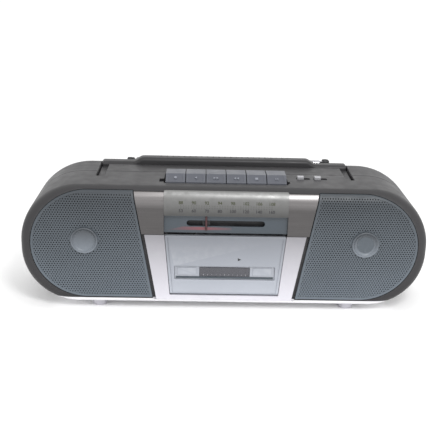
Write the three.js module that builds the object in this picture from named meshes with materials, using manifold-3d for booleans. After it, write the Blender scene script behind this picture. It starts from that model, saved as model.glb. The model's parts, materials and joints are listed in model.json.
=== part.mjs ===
// A portable radio cassette recorder: a long body with round ends, two speakers, a front-loading
// cassette deck under a tuning dial, a row of piano keys on top, a fold-back handle and a telescopic aerial.
// Millimetres. X runs along the body, the front faces -Y, +Z is up. The origin is on the floor, under the middle.
import * as THREE from "three";
import { mergeVertices } from "three/addons/utils/BufferGeometryUtils.js";
import Module from "manifold-3d";

const wasm = await Module();
wasm.setup();

// ---------------------------------------------------------------- driving sizes

// Body
const bodyLength = 420;
const bodyDepth = 124;
const bodyHeight = 126;
const footHeight = 8;
const shellWall = 4.5;
const frontRadius = { top: 15, bottom: 8, end: 9 }; // where the front meets the top, the bottom and the ends
const backRadius = { top: 25, bottom: 16, end: 34 };
const endRoundness = 0.94; // an end's radius, as a share of half the height
const baseTrayHeight = 6;
const cabinetSplitY = 0;
const seam = 0.4; // between fixed pieces that meet
const slip = 0.6; // around pieces that move

// Front trim
const panelTopHalfWidth = 93.8;
const panelBottomHalfWidth = 73.8;
const panelBottomLift = 5; // above the body's underside
const panelTopDrop = 4.3; // below the body's top
const panelThickness = 2.4;
const panelProud = 0.6;
const surroundGroove = 3; // the open groove between the silver surround and a grille
const scaleHalfWidth = 63.2;
const scaleTopDrop = 2.5; // below the body's top
const scaleHeight = 25;
const scaleProud = 1.8;
const bandHeight = 18.4;
const bandSill = 2.6; // how far the panel's sides reach below the band
const bandThickness = 1.8;
const pointerSlotHalfWidth = 40;
const pointerSlotHeight = 6;
const pointerRestX = -20;
const pointerWidth = 2;

// Grilles
const grilleThickness = 1.6;
const grilleBottomLift = 7;
const grilleTopDrop = 3.4;
const badgeX = 144.5;
const badgeDrop = 56; // from the body's top down to a speaker's centre
const badgeRadius = 14;
const badgeRimWidth = 3.5;
const badgeHeight = 2;
const badgeFloor = 0.8;
const badgeGap = 0.1;

// Cassette deck
const cassetteWidth = 100.4;
const cassetteHeight = 63.8;
const cassetteThickness = 12;
const hubSpacing = 42.5;
const doorTopHalfWidth = 62.2;
const doorBottomHalfWidth = 56.4;
const doorThickness = 4;
const doorProud = 1;
const doorSill = 2.2; // between the cassette and the door's lower edge
const doorHingeRadius = 4;
const windowHalfWidth = 52;
const windowHeight = 15;
const windowLift = 17.4; // above the door's lower edge
const lensHalfWidth = 26;
const holderWall = 3;
const chassisThickness = 1.5;
const spindleRadius = 4.4;
const spindleReach = 5; // how far a spindle stands into the cassette
const reelGearRadius = 13;
const flywheelRadius = 24;
const flywheelWidth = 6;
const capstanRadius = 1.2;
const capstanX = -35;
const motorX = 38;
const motorRadius = 14;
const motorLength = 22;
const motorPosts = [
  [-17, 13],
  [17, -15],
]; // from the motor's axis, clear of the belt and the reel gears
const pulleyRadius = 5;
const beltThickness = 1;
const headTravel = 4;

// Keys
const keyPitch = 21;
const keyGap = 0.8;
const keyDepth = 32;
const keyFrontY = -38;
const keyStand = 6.5; // above the body's top
const keyAxleRadius = 1.5;
const keyAxleDrop = 9;
const keySlopeDepth = 11; // the sloping front part of a key's top
const keyFrontGap = 2; // room for the front edge as it swings down
const keyBackGap = 1.6;
const keyNames = ["record", "play", "rewind", "fast_forward", "stop_eject", "pause"];

// Handle
const handleX = 132;
const handlePivotY = -9;
const handlePivotDrop = 10.5;
const armWidth = 8;
const armHalfHeight = 7;
const gripY = 38;
const gripDepth = 15;
const gripHeight = 12;
const gripHalfLength = 92;
const gripStand = 7; // the grip's top above the body's top
const gripDip = 5; // how far the bar drops outside the grip
const gripFrontGap = 3;
const armFrontGap = 2.4; // room for an arm's rounded end as the handle swings up
const pivotPinRadius = 2.5;

// Aerial
const aerialTipX = -109;
const aerialPivotX = 115;
const aerialY = 55;
const aerialDrop = 2; // its axis below the body's top
const aerialTubeRadius = 3.2;
const aerialTubeWall = 0.6;
const aerialMiddleRadius = 2.2;
const aerialInnerRadius = 1.2;
const aerialTipLength = 9;
const aerialPostRadius = 5;
const aerialStemRadius = 2.2; // the post below its shoulder

// Controls and back
const wheelRadius = 18;
const wheelThickness = 8;
const wheelY = 19;
const wheelRise = 14; // above the body's middle
const switchKnob = [7, 5, 3];
const functionSwitch = [79, -16];
const bandSwitch = [97, -16];
const switchTravel = 6;
const pinSlack = 0.3; // between a pin and the hole that it turns in
const footX = 132;
const footY = 44;
const footRadius = 8;
const screwPlaces = [
  [-112, 25],
  [112, 25],
  [-94, 112],
  [94, 112],
];
const screwHeadRadius = 4;
const screwHoleRadius = 1.8;
const screwGrip = 16; // how deep a screw reaches into the front cabinet
const bayHalfWidth = 100;
const bayDepth = 34;
const bayHeight = 44;
const bayWall = 2;
const batteryDoorThickness = 2.4;
const backRibRise = 16; // the ribs on the back, above the body's middle
const backRibSpacing = 12;
const inletX = -126;
const inletWidth = 24;
const inletHeight = 16;
const inletDepth = 16;
const inletRise = 24; // its middle above the base tray

// Speakers
const speakerRadius = 46;
const speakerDepth = 22;
const magnetRadius = 22;
const magnetDepth = 12;

// ---------------------------------------------------------------- derived places

const halfLength = bodyLength / 2;
const halfHeight = bodyHeight / 2;
const frontY = -bodyDepth / 2;
const backY = bodyDepth / 2;
const floorZ = footHeight;
const topZ = footHeight + bodyHeight;
const middleZ = footHeight + halfHeight;
const endCentreX = halfLength - halfHeight * endRoundness;
const innerBackY = backY - shellWall;
const trayTopZ = floorZ + baseTrayHeight;
const panelBottomZ = floorZ + panelBottomLift;
const panelTopZ = topZ - panelTopDrop;
const scaleTopZ = topZ - scaleTopDrop;
const scaleBottomZ = scaleTopZ - scaleHeight;
const bandBottomZ = scaleBottomZ - bandHeight;
const upperPanelBottomZ = bandBottomZ - bandSill;
const doorTopZ = upperPanelBottomZ - slip;
const doorBottomZ = doorTopZ - cassetteHeight - doorSill;
const hingeY = frontY - doorProud + doorHingeRadius;
const hingeZ = doorBottomZ + doorHingeRadius;
const pocketFrontY = frontY - doorProud + doorThickness + seam;
const pocketBackY = pocketFrontY + cassetteThickness;
const chassisY = pocketBackY + 2;
const chassisBackY = chassisY + chassisThickness;
const hubZ = doorTopZ - cassetteHeight * 0.54;
const capstanZ = doorTopZ - 8;
const speakerZ = topZ - badgeDrop;
const keyBackY = keyFrontY + keyDepth;
const keyAxleY = keyBackY - 3;
const keyAxleZ = topZ - keyAxleDrop;
const keyRowHalf = (keyNames.length * keyPitch) / 2;
const pivotZ = topZ - handlePivotDrop;
const aerialZ = topZ - aerialDrop;

// ---------------------------------------------------------------- materials

function paint(color, roughness, metalness) {
  return new THREE.MeshStandardMaterial({ color, roughness, metalness });
}
const graphite = paint(0x58575a, 0.45, 0.3);
const brushed = paint(0x8d8c8e, 0.3, 0.8);
const silver = paint(0xd2d1d7, 0.35, 0.5);
const doorSilver = paint(0xaeb4be, 0.25, 0.5);
const scaleGrey = paint(0xb0b0ae, 0.4, 0.4);
const grilleBlue = paint(0x505860, 0.5, 0.4);
const keyGrey = paint(0x8b8f9a, 0.4, 0.2);
const black = paint(0x17171a, 0.5, 0);
const smoke = paint(0x50505c, 0.15, 0);
const rubber = paint(0x3a3a3c, 0.9, 0);
const chrome = paint(0xd8d8dc, 0.12, 1);
const steel = paint(0x9a9a9c, 0.35, 0.9);
const red = paint(0xb0202a, 0.4, 0);
const boardGreen = paint(0x2c5a38, 0.6, 0);
const copper = paint(0xa8642c, 0.4, 0.7);

// ---------------------------------------------------------------- solids

// A closed geometry as a manifold-3d solid.
function solid(geometry) {
  const bare = geometry.index ? geometry.toNonIndexed() : geometry.clone();
  bare.deleteAttribute("normal");
  bare.deleteAttribute("uv");
  const merged = mergeVertices(bare, 1e-4);
  return new wasm.Manifold(
    new wasm.Mesh({
      numProp: 3,
      vertProperties: merged.attributes.position.array,
      triVerts: new Uint32Array(merged.index.array),
    }),
  );
}

function geometryOf(made) {
  const mesh = made.getMesh();
  const geometry = new THREE.BufferGeometry();
  geometry.setAttribute("position", new THREE.BufferAttribute(mesh.vertProperties, 3));
  geometry.setIndex(new THREE.BufferAttribute(mesh.triVerts, 1));
  geometry.computeVertexNormals();
  return geometry;
}

function box(x0, x1, y0, y1, z0, z1) {
  const geometry = new THREE.BoxGeometry(x1 - x0, y1 - y0, z1 - z0);
  geometry.translate((x0 + x1) / 2, (y0 + y1) / 2, (z0 + z1) / 2);
  return solid(geometry);
}

// An outline in X and Z, extruded along Y.
function extrudeXZ(shape, y0, y1, curveSegments = 12) {
  const geometry = new THREE.ExtrudeGeometry(shape, {
    depth: y1 - y0,
    bevelEnabled: false,
    curveSegments,
  });
  geometry.rotateX(Math.PI / 2);
  geometry.translate(0, y1, 0);
  return solid(geometry);
}

// An outline in Y and Z, extruded along X.
function extrudeYZ(shape, x0, x1, curveSegments = 8) {
  const geometry = new THREE.ExtrudeGeometry(shape, {
    depth: x1 - x0,
    bevelEnabled: false,
    curveSegments,
  });
  const turn = new THREE.Matrix4().makeBasis(
    new THREE.Vector3(0, 1, 0),
    new THREE.Vector3(0, 0, 1),
    new THREE.Vector3(1, 0, 0),
  );
  geometry.applyMatrix4(turn);
  geometry.translate(x0, 0, 0);
  return solid(geometry);
}

// A round bar along an axis, from a to b; the other two coordinates are its centre's.
function rod(axis, radius, a, b, u = 0, v = 0, sides = 20) {
  const geometry = new THREE.CylinderGeometry(radius, radius, b - a, sides);
  if (axis === "x") {
    geometry.rotateZ(Math.PI / 2);
    geometry.translate((a + b) / 2, u, v);
  } else if (axis === "y") {
    geometry.translate(u, (a + b) / 2, v);
  } else {
    geometry.rotateX(Math.PI / 2);
    geometry.translate(u, v, (a + b) / 2);
  }
  return solid(geometry);
}

// A turned piece about Y: its profile is [radius, y] points, starting and ending on the axis or closing on itself.
function turnedY(profile, sides = 24) {
  const points = profile.map(([radius, y]) => new THREE.Vector2(radius, y));
  const made = solid(new THREE.LatheGeometry(points, sides));
  return made.volume() > 0 ? made : solid(flipped(new THREE.LatheGeometry(points, sides)));
}

function flipped(geometry) {
  const index = geometry.index.array;
  for (let i = 0; i < index.length; i += 3) {
    [index[i + 1], index[i + 2]] = [index[i + 2], index[i + 1]];
  }
  return geometry;
}

function shapeOf(points) {
  return new THREE.Shape(points.map(([a, b]) => new THREE.Vector2(a, b)));
}

function rectangle(a0, a1, b0, b1) {
  return shapeOf([
    [a0, b0],
    [a1, b0],
    [a1, b1],
    [a0, b1],
  ]);
}

function roundedRectangle(a0, a1, b0, b1, radius) {
  const shape = new THREE.Shape();
  shape.absarc(a0 + radius, b0 + radius, radius, Math.PI, 1.5 * Math.PI);
  shape.absarc(a1 - radius, b0 + radius, radius, 1.5 * Math.PI, 2 * Math.PI);
  shape.absarc(a1 - radius, b1 - radius, radius, 0, Math.PI / 2);
  shape.absarc(a0 + radius, b1 - radius, radius, Math.PI / 2, Math.PI);
  return shape;
}

// ---------------------------------------------------------------- the body's surface

// How far one side has rounded in at depth y, for a body sunk by inset.
function roundedIn(y, inset, side) {
  const fromFront = y - (frontY + inset);
  const fromBack = backY - inset - y;
  const [depth, full] = fromFront < fromBack ? [fromFront, frontRadius] : [fromBack, backRadius];
  const radius = Math.max(full[side] - inset, 1);
  const left = Math.max(radius - depth, 0);
  return radius - Math.sqrt(Math.max(radius * radius - left * left, 0));
}

// The outline seen from the front at depth y, anticlockwise from the lower right.
function bodyOutline(y, inset) {
  const steps = 8;
  const end = halfLength - inset - roundedIn(y, inset, "end");
  const low = floorZ + inset + roundedIn(y, inset, "bottom");
  const high = topZ - inset - roundedIn(y, inset, "top");
  const radius = ((high - low) / 2) * endRoundness;
  const points = [];
  for (const [sideX, sideZ, start] of [
    [1, -1, -0.5],
    [1, 1, 0],
    [-1, 1, 0.5],
    [-1, -1, 1],
  ]) {
    const centreZ = sideZ > 0 ? high - radius : low + radius;
    for (let i = 0; i <= steps; i++) {
      const angle = (start + (i / steps) * 0.5) * Math.PI;
      points.push([
        sideX * (end - radius) + radius * Math.cos(angle),
        centreZ + radius * Math.sin(angle),
      ]);
    }
  }
  return points;
}

// The body's outside sunk by inset: outlines stacked from the front to the back.
function bodySolid(inset) {
  const steps = 6;
  const depths = [];
  for (let i = 0; i <= steps; i++) {
    const turn = 1 - Math.cos((i / steps) * (Math.PI / 2));
    depths.push(frontY + inset + turn * Math.max(frontRadius.top - inset, 1));
    depths.push(backY - inset - turn * Math.max(backRadius.end - inset, 1));
  }
  depths.sort((one, other) => one - other);
  const positions = [];
  for (const y of depths) {
    for (const [x, z] of bodyOutline(y, inset)) {
      positions.push(x, y, z);
    }
  }
  const ring = bodyOutline(0, inset).length;
  const index = [];
  for (let i = 0; i + 1 < depths.length; i++) {
    for (let j = 0; j < ring; j++) {
      const here = i * ring + j;
      const next = i * ring + ((j + 1) % ring);
      index.push(here, next, next + ring, here, next + ring, here + ring);
    }
  }
  const last = (depths.length - 1) * ring;
  for (let j = 1; j + 1 < ring; j++) {
    index.push(0, j + 1, j);
    index.push(last, last + j, last + j + 1);
  }
  const geometry = new THREE.BufferGeometry();
  geometry.setAttribute("position", new THREE.Float32BufferAttribute(positions, 3));
  geometry.setIndex(index);
  const made = solid(geometry);
  return made.volume() > 0 ? made : solid(flipped(geometry));
}

const outerBody = bodySolid(0);
const innerBody = bodySolid(shellWall);

// The layer of the body's front between two depths under its surface, inside an outline in X and Z.
function frontLayer(shape, fromInset, toInset) {
  const reach = frontY + frontRadius.top + shellWall;
  return bodySolid(fromInset)
    .subtract(bodySolid(toInset))
    .intersect(extrudeXZ(shape, -bodyDepth, reach));
}

function panelHalfWidth(z) {
  const share = (z - panelBottomZ) / (panelTopZ - panelBottomZ);
  return panelBottomHalfWidth + (panelTopHalfWidth - panelBottomHalfWidth) * share;
}

function panelShape(z0, z1, grow, growSides = grow) {
  const low = panelHalfWidth(z0) + growSides;
  const high = panelHalfWidth(z1) + growSides;
  return shapeOf([
    [-low, z0 - grow],
    [low, z0 - grow],
    [high, z1 + grow],
    [-high, z1 + grow],
  ]);
}

function doorShape(grow) {
  return shapeOf([
    [-doorBottomHalfWidth - grow, doorBottomZ - grow],
    [doorBottomHalfWidth + grow, doorBottomZ - grow],
    [doorTopHalfWidth + grow, doorTopZ + grow],
    [-doorTopHalfWidth - grow, doorTopZ + grow],
  ]);
}

function grilleShape(side, grow) {
  const bottom = floorZ + grilleBottomLift - grow;
  const top = topZ - grilleTopDrop + grow;
  const radius = (top - bottom) / 2;
  const steps = 16;
  const points = [
    [side * (panelHalfWidth(top) + 2 * seam - grow), top],
    [side * (panelHalfWidth(bottom) + 2 * seam - grow), bottom],
  ];
  for (let i = 0; i <= steps; i++) {
    const angle = -Math.PI / 2 + (i / steps) * Math.PI;
    points.push([
      side * (endCentreX - frontRadius.end + radius * Math.cos(angle)),
      (top + bottom) / 2 + radius * Math.sin(angle),
    ]);
  }
  return shapeOf(points);
}

// ---------------------------------------------------------------- the assembly

const model = new THREE.Group();

function add(name, made, material, parent = model) {
  const mesh = new THREE.Mesh(made.isBufferGeometry ? made : geometryOf(made), material);
  mesh.name = name;
  parent.add(mesh);
  return mesh;
}

// ---- cabinet shells

// The handle lies in a groove: a channel for each arm and a trough for the grip.
function handleGroove(grow) {
  const halfWidth = armWidth / 2 + slip + grow;
  const channelFloor = pivotZ - armHalfHeight - slip - grow;
  const troughFloor = topZ + gripStand - gripDip - gripHeight - slip - grow;
  const frontEnd = handlePivotY - armHalfHeight - armFrontGap - grow;
  const troughFront = gripY - gripDepth / 2 - gripFrontGap - grow;
  const troughBack = gripY + gripDepth / 2 + 2 * slip + grow;
  const above = topZ + gripHeight;
  const outer = handleX + halfWidth;
  const trough = box(-outer, outer, troughFront, troughBack, troughFloor, above);
  return [-1, 1]
    .map((side) => {
      const x = side * handleX;
      return box(x - halfWidth, x + halfWidth, frontEnd, troughBack, channelFloor, above);
    })
    .reduce((sum, channel) => sum.add(channel), trough);
}

const screwBossRadius = screwHeadRadius + 2;
const screwSinkY = backY - 10;
const bayTopZ = trayTopZ + seam + bayWall + bayHeight;
const bayFrontY = backY - bayDepth;
const wheelZ = middleZ + wheelRise;
const wheelX = halfLength - wheelRadius;
const inletZ = trayTopZ + inletRise;

function cabinetShell() {
  const grooveWall = 2;
  const groove = handleGroove(grooveWall).intersect(outerBody);
  return outerBody.subtract(innerBody).add(groove).subtract(handleGroove(0));
}
const shell = cabinetShell();
const far = bodyLength;

function frontCabinet() {
  let made = shell
    .subtract(box(-far, far, cabinetSplitY - seam / 2, far, -far, far))
    .subtract(box(-far, far, -far, far, -far, trayTopZ + seam / 2));
  // speaker rings behind the grilles
  for (const side of [-1, 1]) {
    const ringBack = frontY + shellWall + 6;
    const ring = rod("y", speakerRadius + 2, frontY + 2, ringBack, side * badgeX, speakerZ, 32);
    made = made.add(ring.intersect(bodySolid(grilleThickness + seam)));
    made = made.subtract(rod("y", speakerRadius - 5, -far, 0, side * badgeX, speakerZ, 32));
    made = made.subtract(frontLayer(grilleShape(side, seam), -1, grilleThickness + seam));
  }
  // screw bosses, which meet those of the rear cabinet at the split
  for (const [x, z] of screwPlaces) {
    const post = rod("y", screwBossRadius - 1, frontY + 3, cabinetSplitY - seam / 2, x, z, 12);
    made = made.add(post.intersect(bodySolid(panelThickness + 2 * seam)));
    made = made.subtract(rod("y", screwHoleRadius, cabinetSplitY - screwGrip, 0, x, z, 10));
  }
  // the rebate and the opening behind the front trim
  const lip = 6;
  const openingTop = panelTopZ - 9;
  made = made.subtract(
    frontLayer(panelShape(panelBottomZ, panelTopZ, seam), -2, panelThickness + seam),
  );
  const openingBack = frontY + frontRadius.top;
  made = made.subtract(
    extrudeXZ(panelShape(panelBottomZ + lip, openingTop, -lip), -far, openingBack),
  );
  made = made.subtract(extrudeXZ(doorShape(slip), -far, openingBack));
  // lugs that carry the cassette chassis
  for (const side of [-1, 1]) {
    const lugInner = side * (chassisHalfWidth - 6);
    const lugOuter = side * (panelBottomHalfWidth + 12);
    const [x0, x1] = [Math.min(lugInner, lugOuter), Math.max(lugInner, lugOuter)];
    const lug = box(x0, x1, frontY + 2, chassisY - seam, hubZ - 8, hubZ + 8);
    const doorRoom = box(-far, far, -far, chassisY - 5, -far, far).intersect(
      extrudeXZ(rectangle(-chassisHalfWidth - 4, chassisHalfWidth + 4, 0, topZ), -far, far),
    );
    made = made.add(lug.subtract(doorRoom).intersect(bodySolid(panelThickness + 2 * seam)));
  }
  // the key opening with ears for the key axle
  const earX = keyRowHalf + 2;
  for (const side of [-1, 1]) {
    const ear = extrudeYZ(
      rectangle(keyBackY - 9, keyBackY + 3, keyAxleZ - 4, topZ - 1),
      Math.min(side * earX, side * (earX + 4)),
      Math.max(side * earX, side * (earX + 4)),
    );
    made = made.add(ear);
  }
  made = made.subtract(
    box(
      -keyRowHalf - 1,
      keyRowHalf + 1,
      keyFrontY - keyFrontGap,
      keyBackY + keyBackGap,
      topZ - 8,
      far,
    ),
  );
  made = made.subtract(rod("x", keyAxleRadius + pinSlack, -earX - 5, earX + 5, keyAxleY, keyAxleZ, 12));
  made = made.subtract(switchSlot(functionSwitch));
  made = made.subtract(switchSlot(bandSwitch));
  made = made.subtract(handlePinHoles());
  return made;
}

function handlePinHoles() {
  const holes = [-1, 1].map((side) => {
    const inner = side * (handleX - armWidth / 2 - 4);
    const outer = side * (handleX + armWidth / 2 + 4);
    return rod(
      "x",
      pivotPinRadius + pinSlack,
      Math.min(inner, outer),
      Math.max(inner, outer),
      handlePivotY,
      pivotZ,
      12,
    );
  });
  return holes[0].add(holes[1]);
}

function switchSlot([x, y]) {
  const [knobX, knobY] = switchKnob;
  const neck = 1.6;
  return box(
    x - knobX / 2 - slip,
    x + knobX / 2 + switchTravel + slip,
    y - knobY / 2 - slip,
    y + knobY / 2 + slip,
    topZ - neck,
    far,
  ).add(
    box(x - 2 - slip, x + 2 + switchTravel + slip, y - neck, y + neck, topZ - 2 * shellWall, far),
  );
}

function rearCabinet() {
  let made = shell
    .subtract(box(-far, far, -far, cabinetSplitY + seam / 2, -far, far))
    .subtract(box(-far, far, -far, far, -far, trayTopZ + seam / 2));
  // the battery bay
  const bayFloorZ = trayTopZ + seam;
  const bayBlock = box(
    -bayHalfWidth - bayWall,
    bayHalfWidth + bayWall,
    bayFrontY - bayWall,
    backY - 0.01,
    bayFloorZ,
    bayTopZ + bayWall,
  );
  made = made.add(bayBlock);
  made = made.subtract(
    box(-bayHalfWidth, bayHalfWidth, bayFrontY, far, bayFloorZ + bayWall, bayTopZ),
  );
  made = made.subtract(batteryDoorBlock(slip));
  // screw bosses
  for (const [x, z] of screwPlaces) {
    made = made.add(rod("y", screwBossRadius, cabinetSplitY + seam / 2, backY - 2, x, z, 12));
    made = made.subtract(rod("y", screwHeadRadius + 0.5, screwSinkY, far, x, z, 16));
    made = made.subtract(rod("y", screwHoleRadius, -far, far, x, z, 10));
  }
  // the mains inlet's opening
  made = made.subtract(inletBlock(seam, far));
  // thumbwheel slots and the shelves under the wheels
  for (const side of [-1, 1]) {
    const shelfTop = wheelZ - wheelThickness / 2 - potHeight - 2 * seam;
    const shelf = box(
      Math.min(side * (wheelX - 16), side * far),
      Math.max(side * (wheelX - 16), side * far),
      wheelY - 12,
      wheelY + 12,
      shelfTop - 2,
      shelfTop,
    );
    made = made.add(shelf.intersect(bodySolid(1)));
    const slotHalf = wheelThickness / 2 + slip;
    made = made.subtract(
      rod("z", wheelRadius + slip, wheelZ - slotHalf, wheelZ + slotHalf, side * wheelX, wheelY, 28),
    );
  }
  // two ribs to lie on, which stand as proud as the front's badges do
  for (const level of [-1, 1]) {
    const ribZ = middleZ + backRibRise + level * backRibSpacing;
    made = made.add(
      extrudeXZ(
        roundedRectangle(-bayHalfWidth, bayHalfWidth, ribZ - 2, ribZ + 2, 2),
        backY - 1,
        backY + badgeGap + badgeHeight,
        4,
      ),
    );
  }
  // the aerial's seat: a notch for the swivel post and a cradle for the tip
  made = made.add(
    rod("z", aerialPostRadius + 2.5, topZ - 22, aerialZ - 5.5, aerialPivotX, aerialY, 20)
      .intersect(box(-far, far, -far, backY, -far, far)),
  );
  made = made.subtract(
    rod("z", aerialPostRadius + 0.4, aerialZ - 12, far, aerialPivotX, aerialY, 24),
  );
  made = made.subtract(
    rod("z", aerialStemRadius + pinSlack, topZ - 21, far, aerialPivotX, aerialY, 12),
  );
  const cradleX = aerialTipX + 14;
  made = made.add(
    box(cradleX, cradleX + 5, aerialY - 5, aerialY, topZ - 18, aerialZ + 0.5),
  );
  const aerialRoom = aerialTubeRadius + 0.5;
  made = made.subtract(
    rod("x", aerialRoom, aerialTipX - 2, aerialPivotX, aerialY, aerialZ, 16).add(
      box(aerialTipX - 2, aerialPivotX, aerialY - aerialRoom, aerialY + aerialRoom, aerialZ, far),
    ),
  );
  return made;
}

function batteryDoorBlock(grow) {
  const bayFloorZ = trayTopZ + seam;
  return box(
    -bayHalfWidth - 1 - grow,
    bayHalfWidth + 1 + grow,
    backY - batteryDoorThickness - grow,
    backY + grow,
    bayFloorZ + bayWall - 0.6 - grow,
    bayTopZ + 1 + grow,
  );
}

function inletBlock(grow, depthTo) {
  return box(
    inletX - inletWidth / 2 - grow,
    inletX + inletWidth / 2 + grow,
    backY - inletDepth - grow,
    depthTo,
    inletZ - inletHeight / 2 - grow,
    inletZ + inletHeight / 2 + grow,
  );
}

function baseTray() {
  let made = outerBody.subtract(innerBody);
  made = made.subtract(box(-far, far, -far, far, trayTopZ - seam / 2, far));
  made = made.subtract(
    frontLayer(panelShape(panelBottomZ, panelTopZ, seam), -2, panelThickness + seam),
  );
  made = made.subtract(extrudeXZ(doorShape(slip), -far, frontY + frontRadius.top));
  for (const side of [-1, 1]) {
    made = made.subtract(frontLayer(grilleShape(side, seam), -1, grilleThickness + seam));
    for (const end of [-1, 1]) {
      made = made.add(
        rod("z", footRadius, 0, floorZ + shellWall - 1, side * footX, end * footY, 24),
      );
    }
  }
  return made;
}

const chassisHalfWidth = doorTopHalfWidth + 2;
const potHeight = 8;

add("front_cabinet", frontCabinet(), graphite);
add("rear_cabinet", rearCabinet(), graphite);
add("base_tray", baseTray(), silver);

// ---- grilles and the round badges on them

for (const [side, word] of [
  [-1, "left"],
  [1, "right"],
]) {
  const grille = frontLayer(grilleShape(side, 0), 0, grilleThickness);
  add(`${word}_grille`, grille, grilleBlue);
  const badge = turnedY(
    [
      [0, 0],
      [badgeRadius, 0],
      [badgeRadius - 1, -badgeHeight],
      [badgeRadius - badgeRimWidth + 1, -badgeHeight],
      [badgeRadius - badgeRimWidth, -badgeFloor],
      [0, -badgeFloor],
    ],
    28,
  );
  const mesh = add(`${word}_grille_badge`, badge, chrome);
  mesh.position.set(side * badgeX, frontY - badgeGap, speakerZ);
}

// ---- front trim

function upperPanel() {
  const shape = panelShape(upperPanelBottomZ, panelTopZ, 0);
  const bandRoom = rectangle(-scaleHalfWidth, scaleHalfWidth, 0, scaleBottomZ);
  return frontLayer(shape, -panelProud, panelThickness).subtract(
    extrudeXZ(bandRoom, -far, 0),
  );
}

function dialScale() {
  const shape = rectangle(-scaleHalfWidth, scaleHalfWidth, scaleBottomZ, scaleTopZ);
  return frontLayer(shape, -scaleProud, -panelProud - 0.3);
}

function tuningBand() {
  const shape = rectangle(
    -scaleHalfWidth - 3,
    scaleHalfWidth + 3,
    bandBottomZ - 1,
    scaleBottomZ + 3,
  );
  const slotZ = bandBottomZ + bandHeight / 2;
  const slot = roundedRectangle(
    -pointerSlotHalfWidth,
    pointerSlotHalfWidth,
    slotZ - pointerSlotHeight / 2,
    slotZ + pointerSlotHeight / 2,
    pointerSlotHeight / 2 - 0.1,
  );
  const front = panelThickness + seam;
  return frontLayer(shape, front, front + bandThickness).subtract(extrudeXZ(slot, -far, 0, 4));
}

function dialPointer() {
  const slotZ = bandBottomZ + bandHeight / 2;
  const needleFront = frontY + 0.4;
  const bandFront = frontY + panelThickness + seam;
  const bandBack = bandFront + bandThickness;
  const half = pointerWidth / 2;
  return box(-half, half, needleFront, bandFront - 0.4, slotZ - 7, slotZ + 8.5)
    .add(box(-half, half, needleFront, bandBack + 2.5, slotZ - 2, slotZ + 2))
    .add(box(-4, 4, bandBack + 0.6, bandBack + 2.5, slotZ - 4, slotZ + 4));
}

function cassetteSurround() {
  const shape = panelShape(panelBottomZ, upperPanelBottomZ - seam, 0, -surroundGroove);
  return frontLayer(shape, -panelProud, panelThickness).subtract(
    extrudeXZ(doorShape(slip), -far, 0),
  );
}

add("upper_panel", upperPanel(), brushed);
add("dial_scale", dialScale(), scaleGrey);
add("tuning_band", tuningBand(), smoke);
add("dial_pointer", dialPointer(), red).position.set(pointerRestX, 0, 0);
add("cassette_surround", cassetteSurround(), silver);

// ---- cassette door

function cassetteDoor() {
  const faceY = frontY - doorProud;
  const face = new THREE.Shape();
  face.moveTo(faceY + doorThickness, doorTopZ);
  face.lineTo(faceY, doorTopZ);
  face.lineTo(faceY, hingeZ);
  face.absarc(hingeY, hingeZ, doorHingeRadius, Math.PI, 1.5 * Math.PI);
  face.lineTo(faceY + doorThickness, doorBottomZ);
  const windowRoom = windowShape(windowHalfWidth);
  return extrudeYZ(face, -far, far)
    .intersect(extrudeXZ(doorShape(0), -far, 0))
    .subtract(extrudeXZ(windowRoom, -far, 0));
}

function windowShape(halfWidth) {
  const low = doorBottomZ + windowLift;
  return roundedRectangle(-halfWidth, halfWidth, low, low + windowHeight, 1);
}

function doorInsert() {
  const low = doorBottomZ + windowLift + 0.3;
  const high = low + windowHeight - 0.6;
  const faceY = frontY - doorProud;
  const shape = rectangle(-windowHalfWidth + 0.3, windowHalfWidth - 0.3, low, high);
  const lensRoom = rectangle(-lensHalfWidth - 0.3, lensHalfWidth + 0.3, low + 3.2, high - 1.2);
  shape.holes.push(lensRoom);
  return extrudeXZ(shape, faceY + 1.2, faceY + 2.6);
}

function doorLens() {
  const low = doorBottomZ + windowLift + 3.5;
  const high = doorBottomZ + windowLift + windowHeight - 1.5;
  const faceY = frontY - doorProud;
  return extrudeXZ(rectangle(-lensHalfWidth, lensHalfWidth, low, high), faceY + 1.5, faceY + 2.5);
}

// The pocket behind the door: two side rails joined under the cassette.
function cassetteHolder() {
  const inner = cassetteWidth / 2 + 0.8;
  const outer = inner + holderWall;
  const low = doorBottomZ + seam;
  const floorTop = doorBottomZ + doorSill - 0.2;
  const high = doorTopZ - 9;
  const shape = shapeOf([
    [-outer, high],
    [-outer, low],
    [outer, low],
    [outer, high],
    [inner, high],
    [inner, floorTop],
    [-inner, floorTop],
    [-inner, high],
  ]);
  const rails = extrudeXZ(shape, pocketFrontY, pocketBackY - 1);
  const backLips = [-1, 1].map((side) =>
    box(
      Math.min(side * outer, side * (inner - 6)),
      Math.max(side * outer, side * (inner - 6)),
      pocketBackY - 1.01,
      pocketBackY + 0.4,
      low,
      high,
    ),
  );
  return rails.add(backLips[0]).add(backLips[1]);
}

add("cassette_door", cassetteDoor(), doorSilver);
add("door_insert", doorInsert(), silver);
add("door_lens", doorLens(), smoke);
add("cassette_holder", cassetteHolder(), black);

// ---- tape mechanism

function deckChassis() {
  const shape = rectangle(-chassisHalfWidth, chassisHalfWidth, doorBottomZ + 4, capstanZ + 22);
  let made = extrudeXZ(shape, chassisY, chassisBackY);
  for (const side of [-1, 1]) {
    made = made.subtract(
      rod("y", spindleRadius + slip, -far, 0, (side * hubSpacing) / 2, hubZ, 16),
    );
  }
  made = made.subtract(rod("y", capstanRadius + 0.4, -far, 0, capstanX, capstanZ, 12));
  for (const [x, z] of motorPosts) {
    made = made.add(
      rod("y", 2.5, chassisBackY - 0.5, motorPlateY - seam, motorX + x, capstanZ + z, 12),
    );
  }
  return made;
}

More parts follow.
